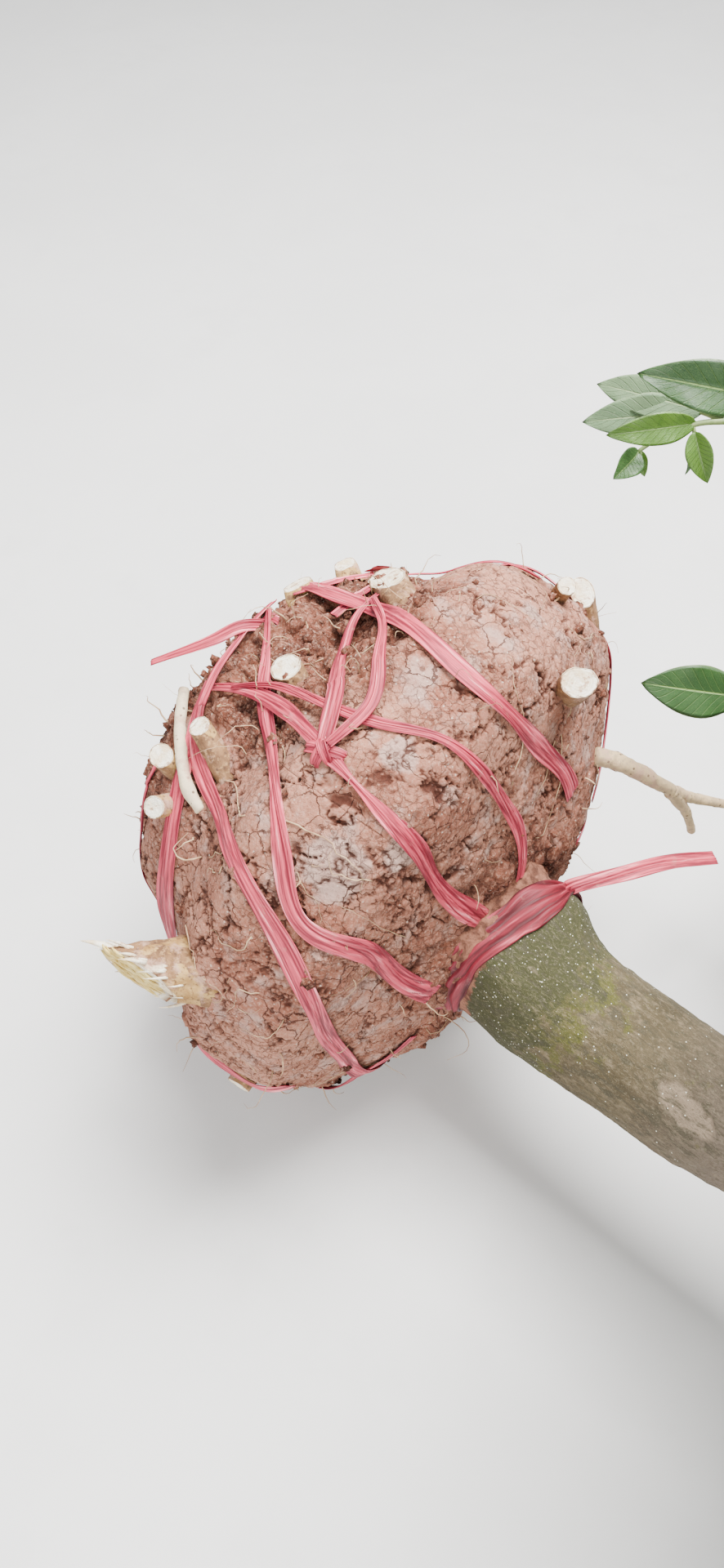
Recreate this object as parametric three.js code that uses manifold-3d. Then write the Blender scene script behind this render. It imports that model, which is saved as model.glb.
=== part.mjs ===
// Citrus sapling with its clay root ball bound in plastic ribbon, dug up and laid on its side.
// Millimetres, +Z up. The trunk lies level along +X, and the ball rests on the ground at the origin.
import * as THREE from 'three';
import { mergeVertices } from 'three/addons/utils/BufferGeometryUtils.js';
import Module from 'manifold-3d';

const wasm = await Module();
wasm.setup();

// Shared clearances
const SEAT_GAP = 0.3;
const LIMB_CLEARANCE = 3;
const GROUND_CLEARANCE = 0.5;

// The collar is the flat cut where trunk and ball meet, on the trunk's axis
const COLLAR = new THREE.Vector3(160, 0, 246);
const TRUNK_AXIS = new THREE.Vector3(1, 0, 0);
const UPWARD = new THREE.Vector3(0, 0, 1);

// Root ball: radius at distances below the collar, then a shallow dome for the broken bottom
const BALL_LENGTH = 340;
const BALL_SIDE_END = 325;
const BALL_PROFILE = [
  [0, 100], [10, 150], [24, 190], [80, 277], [155, 288], [230, 234], [290, 212], [325, 165],
];
const BALL_PITCH = -6;
const BALL_YAW = 4.5;
const BALL_SHIFT = [12, 4];
const BALL_DRIFT = [18, 6];
const BALL_DRIFT_OVER = 60;
const BALL_TURN_OVER = 60;
const BALL_RINGS = [0, 10, 24, 48, 74, 110, 160, 210, 260, 300, 325, 335];
const BALL_SIDES = 26;

// Lumps on the ball: height, waves round the axis, length of a wave along it, phase
const BALL_LUMPS = [[4, 3, 330, 1.3], [3, 5, -260, 0.7]];
const LUMP_FADE = 60;

// Trunk: taper, root flare with its lobes, the slight bow before the fork, and the bevel at its top
const TRUNK_LENGTH = 560;
const TRUNK_FOOT_RADIUS = 66;
const TRUNK_TOP_RADIUS = 54;
const FLARE_RADIUS = 17;
const FLARE_FADE = 34;
const LOBE_COUNT = 5;
const LOBE_DEPTH = 0.07;
const LOBE_FADE = 60;
const LOBE_PHASE = 0.6;
const TRUNK_BOW = 8;
const TRUNK_SIDES = 16;
const TRUNK_STATIONS = [0, 14, 32, 60, 100, 170, 280, 400, 530];
const TRUNK_CAP_RADIUS = 34;
const TRUNK_CAP_SHORT = 8;

// Ribbon and its knots
const RIBBON_WIDTH = 20;
const RIBBON_THICKNESS = 1.8;
const RIBBON_SEAT = 1.7;
const RIBBON_SAMPLES = 160;
const RIBBON_TOLERANCE = 1.2;
const CROSSING_REACH = 22;
const CROSSING_FADE = 25;
const KNOT_LENGTH = 17;
const KNOT_WIDTH = 13.6;
const KNOT_HEIGHT = 9;
const KNOT_SIDES = 5;
const KNOT_STEPS = 3;

// Growth of a mass: one stem, twigs to even points near the skin, leaves square to a twig's faces
const GOLDEN_ANGLE = Math.PI * (3 - Math.sqrt(5));
const TWIG_SIDES = 3;
const FACE_TURN = (2 * Math.PI) / TWIG_SIDES;
const FACE_JITTER = 0.5;
const TWIGS_PER_MASS = 9;
const TWIG_REACH = 0.64;
const TWIG_ROOT_RADIUS = 4.5;
const TWIG_TIP_RADIUS = 2.8;
const TWIG_TESTS = [0.35, 0.55, 0.75, 1];
const TWIG_LOWEST = 22;
const STEM_REACH = 0.45;
const STEM_BEND = 0.5;
const STEM_FOOT_SHARE = 0.9;
const STEM_TIP_RADIUS = 8;
const STEM_SIDES = 4;
const STEM_STEPS = 3;

// Where a twig leaves its stem, and how it bends on its way out
const FORK_SHARE = 0.62;
const FORK_FIRST = 0.16;
const FORK_LAST = 0.97;
const TWIG_BEND_AT = 0.45;
const TWIG_BEND = 0.14;

// Leaves of a twig: where they stand on it, their shape, and how a place that is taken is passed over
const LEAVES_PER_TWIG = 5;
const LEAVES_FROM = 0.42;
const LEAVES_TO = 0.98;
const LEAF_LENGTH = 225;
const LEAF_SHORTEST = 0.85;
const LEAF_LENGTH_RANGE = 0.3;
const LEAF_WIDTH = 0.44;
const LEAF_THICKNESS = 0.03;
const LEAF_BELLY = 0.45;
const LEAF_SPREAD = 0.95;
const END_LEAF_SPREAD = 0.15;
const LEAF_HANG = 0.4;
const LEAF_FACE_UP = 0.35;
const LEAF_SINK = 0.5;
const LEAF_SHORTER = 0.78;
const LEAF_TRIES = 8;
const LEAF_TOUCH = 6;
const SPACE_MARGIN = 1;

const RADIANS = Math.PI / 180;

const vec = ([x, y, z]) => new THREE.Vector3(x, y, z);
const smooth = (t) => THREE.MathUtils.smoothstep(t, 0, 1);

// Seeded random numbers between 0 and 1
function makeRandom(seed) {
  let state = seed >>> 0;
  return () => {
    state = (state + 0x6d2b79f5) >>> 0;
    let t = state;
    t = Math.imul(t ^ (t >>> 15), t | 1);
    t ^= t + Math.imul(t ^ (t >>> 7), t | 61);
    return ((t ^ (t >>> 14)) >>> 0) / 4294967296;
  };
}

// A value read between knots [place, value] by cubic pieces that never overshoot
function readProfile(knots, place) {
  const slopes = [];
  for (let i = 0; i + 1 < knots.length; i += 1) {
    slopes.push((knots[i + 1][1] - knots[i][1]) / (knots[i + 1][0] - knots[i][0]));
  }
  const tangentAt = (i) => {
    if (i === 0) return slopes[0];
    if (i === knots.length - 1) return slopes[i - 1];
    const product = slopes[i - 1] * slopes[i];
    return product <= 0 ? 0 : (2 * product) / (slopes[i - 1] + slopes[i]);
  };
  let k = 0;
  while (k + 2 < knots.length && place > knots[k + 1][0]) k += 1;
  const span = knots[k + 1][0] - knots[k][0];
  const t = THREE.MathUtils.clamp((place - knots[k][0]) / span, 0, 1);
  const rise = knots[k + 1][1] - knots[k][1];
  const start = tangentAt(k) * span;
  const end = tangentAt(k + 1) * span;
  const square = 3 * rise - 2 * start - end;
  const cube = start + end - 2 * rise;
  return knots[k][1] + start * t + square * t ** 2 + cube * t ** 3;
}

// Solids from rings of points, closed by a fan to a point at each end
function solidFromRings(rings, firstPoint, lastPoint) {
  const positions = [];
  const indices = [];
  const sides = rings[0].length;
  rings.flat().forEach((point) => positions.push(point.x, point.y, point.z));
  for (let i = 0; i + 1 < rings.length; i += 1) {
    for (let j = 0; j < sides; j += 1) {
      const a = i * sides + j;
      const b = i * sides + ((j + 1) % sides);
      indices.push(a, b, b + sides, a, b + sides, a + sides);
    }
  }
  const first = rings.length * sides;
  const lastRing = (rings.length - 1) * sides;
  positions.push(firstPoint.x, firstPoint.y, firstPoint.z, lastPoint.x, lastPoint.y, lastPoint.z);
  for (let j = 0; j < sides; j += 1) {
    indices.push(first, (j + 1) % sides, j);
    indices.push(first + 1, lastRing + j, lastRing + ((j + 1) % sides));
  }
  const geometry = new THREE.BufferGeometry();
  geometry.setAttribute('position', new THREE.Float32BufferAttribute(positions, 3));
  geometry.setIndex(indices);
  return toSolid(geometry);
}

// A closed geometry as a solid, with its shared vertices merged
function toSolid(source) {
  const geometry = source.clone();
  geometry.deleteAttribute('normal');
  geometry.deleteAttribute('uv');
  const merged = mergeVertices(geometry, 1e-4);
  const mesh = new wasm.Mesh({
    numProp: 3,
    vertProperties: Float32Array.from(merged.attributes.position.array),
    triVerts: Uint32Array.from(merged.index.array),
  });
  const solid = new wasm.Manifold(mesh);
  return solid.volume() < 0 ? flipped(mesh) : solid;
}

// The same mesh with every face turned round
function flipped(mesh) {
  const triVerts = mesh.triVerts.slice();
  for (let i = 0; i < triVerts.length; i += 3) {
    [triVerts[i + 1], triVerts[i + 2]] = [triVerts[i + 2], triVerts[i + 1]];
  }
  return new wasm.Manifold(new wasm.Mesh({ numProp: 3, vertProperties: mesh.vertProperties, triVerts }));
}

// A solid's largest piece, which leaves out loose scraps and fills sealed hollows
function largestPiece(solid) {
  const pieces = solid.decompose();
  return pieces.reduce((best, piece) => (piece.volume() > best.volume() ? piece : best));
}

function toMesh(name, solid, material) {
  const { vertProperties, triVerts } = solid.getMesh();
  const geometry = new THREE.BufferGeometry();
  geometry.setAttribute('position', new THREE.BufferAttribute(vertProperties, 3));
  geometry.setIndex(new THREE.BufferAttribute(triVerts, 1));
  geometry.computeVertexNormals();
  const mesh = new THREE.Mesh(geometry, material);
  mesh.name = name;
  return mesh;
}

// Two directions square to a third
function crossFrame(direction) {
  const across = new THREE.Vector3().crossVectors(UPWARD, direction);
  if (across.lengthSq() < 1e-6) across.set(0, 1, 0);
  across.normalize();
  return { across, over: new THREE.Vector3().crossVectors(direction, across) };
}

// A ring of points round a centre, square to a direction
function ringRound(centre, direction, radiusAt, sides) {
  const { across, over } = crossFrame(direction);
  return Array.from({ length: sides }, (_, j) => {
    const angle = (2 * Math.PI * j) / sides;
    const radius = radiusAt(angle);
    return centre.clone()
      .addScaledVector(across, Math.cos(angle) * radius)
      .addScaledVector(over, Math.sin(angle) * radius);
  });
}

// A tapering round bar along a curve, with flat ends
function taperedBar(curve, radiusAt, sides, steps) {
  const rings = [];
  for (let i = 0; i <= steps; i += 1) {
    const t = i / steps;
    rings.push(ringRound(curve.getPoint(t), curve.getTangent(t), () => radiusAt(t), sides));
  }
  return solidFromRings(rings, curve.getPoint(0), curve.getPoint(1));
}

// Root ball
const BALL_AXIS = new THREE.Vector3(
  Math.cos(BALL_PITCH * RADIANS) * Math.cos(BALL_YAW * RADIANS),
  Math.cos(BALL_PITCH * RADIANS) * Math.sin(BALL_YAW * RADIANS),
  Math.sin(BALL_PITCH * RADIANS),
);

// Centre and axis of the ball's ring at a distance below the collar
function ballRing(below) {
  const { across, over } = crossFrame(BALL_AXIS);
  const drift = smooth(below / BALL_DRIFT_OVER);
  const centre = COLLAR.clone()
    .addScaledVector(BALL_AXIS, -below)
    .addScaledVector(across, BALL_SHIFT[0] + BALL_DRIFT[0] * drift)
    .addScaledVector(over, BALL_SHIFT[1] + BALL_DRIFT[1] * drift);
  const axis = TRUNK_AXIS.clone().lerp(BALL_AXIS, smooth(below / BALL_TURN_OVER)).normalize();
  return { centre, axis };
}

// The ball's radius at a distance below the collar and an angle from +Y towards up
function ballRadius(below, angle) {
  if (below > BALL_SIDE_END) {
    const dome = (below - BALL_SIDE_END) / (BALL_LENGTH - BALL_SIDE_END);
    return ballRadius(BALL_SIDE_END, angle) * Math.sqrt(Math.max(0, 1 - dome * dome));
  }
  const lumps = BALL_LUMPS.reduce((sum, [height, waves, length, phase]) => (
    sum + height * Math.sin(waves * angle + (2 * Math.PI * below) / length + phase)), 0);
  return readProfile(BALL_PROFILE, below) + lumps * smooth(below / LUMP_FADE);
}

function ballPoint(below, angle, lift = 0) {
  const { centre, axis } = ballRing(below);
  const { across, over } = crossFrame(axis);
  const radius = ballRadius(below, angle) + lift;
  return centre
    .addScaledVector(across, Math.cos(angle) * radius)
    .addScaledVector(over, Math.sin(angle) * radius);
}

// Outward direction of the ball's side, from a short step along it and one round it
const NORMAL_STEP = 4;
const NORMAL_TURN = 0.04;

function ballNormal(below, angle) {
  const lower = Math.max(below - NORMAL_STEP, 0);
  const along = ballPoint(below + NORMAL_STEP, angle).sub(ballPoint(lower, angle));
  const round = ballPoint(below, angle + NORMAL_TURN).sub(ballPoint(below, angle - NORMAL_TURN));
  return new THREE.Vector3().crossVectors(round, along).normalize().negate();
}

// A block under the ground, which flattens the ball where it rests
const GROUND_SIDE = 6000;

function groundBlock() {
  const block = new THREE.BoxGeometry(GROUND_SIDE, GROUND_SIDE, GROUND_SIDE);
  block.translate(0, 0, -GROUND_SIDE / 2);
  return toSolid(block);
}

function buildBall(grow) {
  const rings = BALL_RINGS.map((below) => Array.from({ length: BALL_SIDES }, (_, j) => (
    ballPoint(below, (2 * Math.PI * j) / BALL_SIDES, grow))));
  rings[0].forEach((point) => point.addScaledVector(TRUNK_AXIS, grow));
  const top = ballRing(0).centre.addScaledVector(TRUNK_AXIS, grow);
  const bottom = ballPoint(BALL_LENGTH, 0).addScaledVector(BALL_AXIS, -grow);
  return solidFromRings(rings, top, bottom).subtract(groundBlock());
}

// Trunk
function trunkCentre(along) {
  const t = along / TRUNK_LENGTH;
  return COLLAR.clone().add(new THREE.Vector3(along, TRUNK_BOW * Math.sin(Math.PI * t), TRUNK_BOW * t * t));
}

function trunkRadius(along, angle) {
  const taper = THREE.MathUtils.lerp(TRUNK_FOOT_RADIUS, TRUNK_TOP_RADIUS, along / TRUNK_LENGTH);
  const lobe = 1 + LOBE_DEPTH * Math.exp(-along / LOBE_FADE) * Math.cos(LOBE_COUNT * angle + LOBE_PHASE);
  return (taper + FLARE_RADIUS * Math.exp(-along / FLARE_FADE)) * lobe;
}

function buildTrunk(grow) {
  const rings = TRUNK_STATIONS.map((along) => {
    const start = along === 0 ? SEAT_GAP - grow : 0;
    const centre = trunkCentre(along).addScaledVector(TRUNK_AXIS, start);
    return ringRound(centre, TRUNK_AXIS, (angle) => trunkRadius(along, angle) + grow, TRUNK_SIDES);
  });
  const tip = trunkCentre(TRUNK_LENGTH - TRUNK_CAP_SHORT + grow);
  rings.push(ringRound(tip, TRUNK_AXIS, () => TRUNK_CAP_RADIUS + grow, TRUNK_SIDES));
  return solidFromRings(rings, COLLAR.clone().addScaledVector(TRUNK_AXIS, SEAT_GAP - grow), tip);
}

// Masses of foliage: a round space each, the seed of its growth, and stray sprays that hang out of it
const MASSES = [
  { name: 'foliage_up_low', centre: [640, 40, 742], radius: 305, seed: 11, strays: [[235, 55, 845]] },
  { name: 'foliage_left_low', centre: [600, 470, 300], radius: 335, seed: 12, strays: [[240, 300, 396]] },
  { name: 'foliage_right_low', centre: [1070, -440, 290], radius: 325, seed: 13, strays: [] },
  { name: 'foliage_up_middle', centre: [1100, 50, 780], radius: 360, seed: 14, strays: [] },
  { name: 'foliage_left_middle', centre: [1070, 470, 350], radius: 360, seed: 15, strays: [] },
  { name: 'foliage_right_middle', centre: [1500, -400, 310], radius: 345, seed: 16, strays: [] },
  { name: 'foliage_up_top', centre: [1560, 50, 690], radius: 340, seed: 17, strays: [] },
  { name: 'foliage_left_top', centre: [1510, 410, 320], radius: 345, seed: 18, strays: [] },
  { name: 'foliage_tip', centre: [1900, -10, 360], radius: 345, seed: 19, strays: [] },
];
const STRAY_REACH = 70;
const STRAY_LEAF_SCALE = 0.5;

// Boughs: where each springs from on its parent, how far it swings out first, and its radii
const BOUGHS = [
  {
    name: 'bough_leader',
    mass: 'foliage_tip',
    root: [690, 2, 254],
    via: [1120, -22, 318],
    radii: [40, 17],
  },
  {
    name: 'bough_up_low',
    mass: 'foliage_up_low',
    root: [540, 6, 250],
    via: [578, 14, 372],
    radii: [24, 15],
  },
  {
    name: 'bough_left_low',
    mass: 'foliage_left_low',
    root: [585, 6, 250],
    via: [600, 150, 262],
    radii: [24, 15],
  },
  {
    name: 'bough_right_low',
    mass: 'foliage_right_low',
    root: [668, 4, 250],
    via: [800, -120, 250],
    radii: [30, 17],
  },
  {
    name: 'bough_up_middle',
    mass: 'foliage_up_middle',
    root: [684, 4, 252],
    via: [800, 20, 430],
    radii: [32, 17],
  },
  {
    name: 'bough_left_middle',
    mass: 'foliage_left_middle',
    root: [680, 6, 250],
    via: [760, 130, 268],
    radii: [31, 17],
  },
  {
    name: 'bough_right_middle',
    mass: 'foliage_right_middle',
    root: [960, -12, 296],
    via: [1110, -90, 296],
    radii: [23, 14],
  },
  {
    name: 'bough_up_top',
    mass: 'foliage_up_top',
    root: [1080, -18, 312],
    via: [1190, 4, 400],
    radii: [23, 14],
  },
  {
    name: 'bough_left_top',
    mass: 'foliage_left_top',
    root: [1020, -16, 304],
    via: [1140, 90, 306],
    radii: [23, 14],
  },
];
const BOUGH_SIDES = 7;
const BOUGH_STEPS = 5;
const BOUGH_SWELL = 0.3;
const BOUGH_SWELL_OVER = 0.22;
const ENTRY_DEPTH = 18;

const massNamed = (name) => MASSES.find((mass) => mass.name === name);

// A bough's curve, which stops a little way inside the space of its mass
function boughCurve(bough) {
  const mass = massNamed(bough.mass);
  const centre = vec(mass.centre);
  const inward = vec(bough.via).sub(centre).normalize();
  const tip = centre.addScaledVector(inward, mass.radius - ENTRY_DEPTH);
  return new THREE.QuadraticBezierCurve3(vec(bough.root), vec(bough.via), tip);
}

function boughRadius(bough, t) {
  const swell = 1 + BOUGH_SWELL * Math.max(0, 1 - t / BOUGH_SWELL_OVER);
  return THREE.MathUtils.lerp(bough.radii[0], bough.radii[1], t) * swell;
}

function buildBough(bough, grow) {
  return taperedBar(boughCurve(bough), (t) => boughRadius(bough, t) + grow, BOUGH_SIDES, BOUGH_STEPS);
}

// Distance from a point to the skin of the nearest limb
const LIMB_SAMPLES = 24;
const limbBalls = [];
for (let i = 0; i <= LIMB_SAMPLES; i += 1) {
  const along = (TRUNK_LENGTH * i) / LIMB_SAMPLES;
  limbBalls.push({ centre: trunkCentre(along), radius: trunkRadius(along, 0) });
  BOUGHS.forEach((bough) => {
    const t = i / LIMB_SAMPLES;
    limbBalls.push({ centre: boughCurve(bough).getPoint(t), radius: boughRadius(bough, t) });
  });
}

function limbDistance(point) {
  return Math.min(...limbBalls.map((ball) => ball.centre.distanceTo(point) - ball.radius));
}

// How far a point lies inside its mass's space: its sphere, its side of each neighbour, and above ground
function insideSpace(mass, point) {
  const power = (other) => point.distanceToSquared(vec(other.centre)) - other.radius ** 2;
  const own = power(mass);
  const apart = (other) => 2 * vec(other.centre).distanceTo(vec(mass.centre));
  const others = MASSES.filter((other) => other !== mass);
  const sides = others.map((other) => (power(other) - own) / apart(other));
  const round = mass.radius - point.distanceTo(vec(mass.centre));
  return Math.min(round, point.z - GROUND_CLEARANCE, Math.min(...sides) - SPACE_MARGIN);
}

// How far a point lies inside the narrow space of the mass's stray sprays
function insideStray(mass, point) {
  const centre = vec(mass.centre);
  return Math.max(-Infinity, ...mass.strays.map((tip) => {
    const line = new THREE.Line3(centre, vec(tip));
    return STRAY_REACH - line.closestPointToPoint(point, true, new THREE.Vector3()).distanceTo(point);
  }));
}

function allowed(mass, points) {
  return points.every((point) => (
    Math.max(insideSpace(mass, point), insideStray(mass, point)) > 0
    && limbDistance(point) > LIMB_CLEARANCE));
}

// A three-sided twig along a bent line
function buildTwig(curve) {
  const radiusAt = (t) => THREE.MathUtils.lerp(TWIG_ROOT_RADIUS, TWIG_TIP_RADIUS, t);
  return taperedBar(curve, radiusAt, TWIG_SIDES, 2);
}

// The six corners of a leaf: root, tip, two sides, and the middle of its upper and under side
function leafCorners(root, direction, facing, length) {
  const side = new THREE.Vector3().crossVectors(direction, facing).normalize();
  const face = new THREE.Vector3().crossVectors(side, direction).normalize();
  const belly = root.clone().addScaledVector(direction, length * LEAF_BELLY);
  const half = (length * LEAF_WIDTH) / 2;
  const thick = (length * LEAF_THICKNESS) / 2;
  return [
    root.clone().addScaledVector(direction, -LEAF_SINK),
    root.clone().addScaledVector(direction, length),
    belly.clone().addScaledVector(side, half),
    belly.clone().addScaledVector(side, -half),
    belly.clone().addScaledVector(face, thick),
    belly.clone().addScaledVector(face, -thick),
  ];
}

function buildLeaf(corners) {
  const [root, tip, left, right, upper, under] = corners;
  return solidFromRings([[left, upper, right, under]], root, tip);
}

// Directions spread evenly over a sphere
function evenDirection(index, count, turn) {
  const height = 1 - (2 * index + 1) / count;
  const flat = Math.sqrt(1 - height * height);
  const angle = index * GOLDEN_ANGLE + turn;
  return new THREE.Vector3(Math.cos(angle) * flat, Math.sin(angle) * flat, height);
}

// The part of one direction and the part of another that an angle between them gives
function blend(first, second, angle) {
  return first.clone().multiplyScalar(Math.cos(angle)).addScaledVector(second, Math.sin(angle));
}

// Leaves along the outer part of a twig, each on its next face, and one at its end
function growLeaves(mass, curve, random, scale, growth) {
  let face = Math.floor(random() * TWIG_SIDES);
  for (let k = 0; k < LEAVES_PER_TWIG; k += 1) {
    const t = THREE.MathUtils.lerp(LEAVES_FROM, LEAVES_TO, k / (LEAVES_PER_TWIG - 1));
    const tangent = curve.getTangent(t);
    const root = curve.getPoint(t);
    const { across, over } = crossFrame(tangent);
    const spread = k === LEAVES_PER_TWIG - 1 ? END_LEAF_SPREAD : LEAF_SPREAD;
    let length = LEAF_LENGTH * scale * (LEAF_SHORTEST + LEAF_LENGTH_RANGE * random());
    for (let attempt = 0; attempt < LEAF_TRIES; attempt += 1) {
      const turn = FACE_TURN * (face + 0.5) + FACE_JITTER * (random() - 0.5);
      const out = blend(across, over, turn);
      const direction = blend(tangent, out, spread);
      const facing = tangent.clone().addScaledVector(out, -LEAF_HANG).addScaledVector(UPWARD, LEAF_FACE_UP);
      const corners = leafCorners(root, direction, facing, length);
      if (allowed(mass, corners.slice(1))) {
        const leaf = buildLeaf(corners);
        if (growth.solid.intersect(leaf).volume() < LEAF_TOUCH) {
          growth.solid = growth.solid.add(leaf);
          break;
        }
      }
      face += 1;
      if (attempt % TWIG_SIDES === TWIG_SIDES - 1) length *= LEAF_SHORTER;
    }
    face += 1;
  }
}

// One mass: a stem from the bough's tip, twigs from the stem, and leaves sunk into the twigs
function buildMass(mass) {
  const random = makeRandom(mass.seed);
  const bough = BOUGHS.find((candidate) => candidate.mass === mass.name);
  const curve = boughCurve(bough);
  const heading = curve.getTangent(1);
  const centre = vec(mass.centre);
  const foot = curve.getPoint(1).addScaledVector(heading, SEAT_GAP);
  const end = centre.clone().addScaledVector(heading, mass.radius * STEM_REACH);
  const bend = foot.clone().addScaledVector(heading, mass.radius * STEM_BEND);
  const stem = new THREE.QuadraticBezierCurve3(foot, bend, end);
  const footRadius = bough.radii[1] * STEM_FOOT_SHARE;
  const stemRadius = (t) => THREE.MathUtils.lerp(footRadius, STEM_TIP_RADIUS, t);
  const growth = { solid: taperedBar(stem, stemRadius, STEM_SIDES, STEM_STEPS) };
  const turn = random() * 2 * Math.PI;
  const targets = Array.from({ length: TWIGS_PER_MASS }, (_, i) => {
    const direction = evenDirection(i, TWIGS_PER_MASS, turn);
    const target = centre.clone().addScaledVector(direction, mass.radius * TWIG_REACH);
    target.z = Math.max(target.z, TWIG_LOWEST);
    return { target, scale: 1 };
  });
  mass.strays.forEach((tip) => targets.push({ target: vec(tip), scale: STRAY_LEAF_SCALE }));
  targets.forEach(({ target, scale }) => {
    const ahead = target.clone().sub(foot).dot(heading) / foot.distanceTo(end);
    const t = THREE.MathUtils.clamp(ahead * FORK_SHARE, FORK_FIRST, FORK_LAST);
    const start = stem.getPoint(t);
    const swing = start.distanceTo(target) * TWIG_BEND;
    const via = start.clone().lerp(target, TWIG_BEND_AT).addScaledVector(stem.getTangent(t), swing);
    const twig = new THREE.QuadraticBezierCurve3(start, via, target);
    if (!allowed(mass, TWIG_TESTS.map((place) => twig.getPoint(place)))) return;
    growth.solid = growth.solid.add(buildTwig(twig));
    growLeaves(mass, twig, random, scale, growth);
  });
  return largestPiece(growth.solid);
}

// Cut roots: where each leaves the ball, where its end lies (lift above the ball), and its radii
const ROOTS = [
  { name: 'root_shoulder', from: [168, 87, -12], to: [231, 73, 20], radii: [16, 18] },
  { name: 'root_split_wide', from: [290, 84, -12], to: [302, 79, 20], radii: [20, 15] },
  { name: 'root_split_narrow', from: [284, 66, -12], to: [294, 62, 20], radii: [15, 11] },
  { name: 'root_crown_side', from: [228, 107, -12], to: [242, 105, 18], radii: [13, 15] },
  { name: 'root_near_upper', from: [238, 132, -12], to: [276, 126, 17], radii: [13, 16] },
  { name: 'root_near_pair_upper', from: [296, 140, -12], to: [292, 137, 18], radii: [11, 12] },
  { name: 'root_near_pair_lower', from: [276, 145, -12], to: [271, 146, 20], radii: [10, 11] },
  { name: 'root_great', from: [142, 167, -20], to: [192, 176, 42], radii: [28, 32] },
  { name: 'root_far_long', from: [50, 26, -10], to: [112, 42, 16], radii: [11, 13] },
  { name: 'root_far_stout', from: [42, 56, -14], to: [57, 72, 22], radii: [15, 17] },
  { name: 'root_far_small', from: [118, 48, -12], to: [114, 54, 17], radii: [8, 9] },
  { name: 'root_far_short', from: [32, 12, -12], to: [28, 10, 24], radii: [8, 7] },
  { name: 'root_low_near', from: [130, 216, -16], to: [134, 215, 30], radii: [14, 13] },
  { name: 'root_back_far', from: [150, 350, -16], to: [158, 348, 32], radii: [16, 15] },
  { name: 'root_back_low', from: [80, 318, -16], to: [86, 320, 28], radii: [12, 11] },
  { name: 'root_bottom', from: [330, 250, -16], to: [330, 250, 26], radii: [15, 14] },
];
const ROOT_SIDES = 7;

// A point lifted off the ball along its outward direction
function liftedPoint([below, degrees, lift]) {
  const angle = degrees * RADIANS;
  if (below > BALL_SIDE_END) {
    return ballPoint(below, angle).addScaledVector(BALL_AXIS, -lift);
  }
  return ballPoint(below, angle).addScaledVector(ballNormal(below, angle), lift);
}

function buildRoot(root, grow) {
  const from = liftedPoint(root.from);
  const to = liftedPoint(root.to);
  const outward = to.clone().sub(from).normalize();
  const curve = new THREE.LineCurve3(from, to.addScaledVector(outward, grow));
  const radiusAt = (t) => THREE.MathUtils.lerp(root.radii[0], root.radii[1], t) + grow;
  return taperedBar(curve, radiusAt, ROOT_SIDES, 1);
}

// The forked root that lies out beyond the ball's far side
const FORK_ROOT = [[130, 196, 322], [170, 232, 296], [200, 262, 258]];
const FORK_PRONGS = [
  [[200, 262, 258], [214, 302, 220], [246, 356, 182]],
  [[200, 262, 258], [212, 284, 214], [222, 300, 168]],
];
const FORK_SIDES = 5;
const FORK_RADII = [10, 7];
const PRONG_RADII = [7, 4.5];

function buildForkRoot(grow) {
  const bar = (points, radii) => {
    const curve = new THREE.CatmullRomCurve3(points.map(vec));
    const radiusAt = (t) => THREE.MathUtils.lerp(radii[0], radii[1], t) + grow;
    return taperedBar(curve, radiusAt, FORK_SIDES, 2);
  };
  return FORK_PRONGS.reduce((whole, prong) => whole.add(bar(prong, PRONG_RADII)), bar(FORK_ROOT, FORK_RADII));
}

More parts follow.
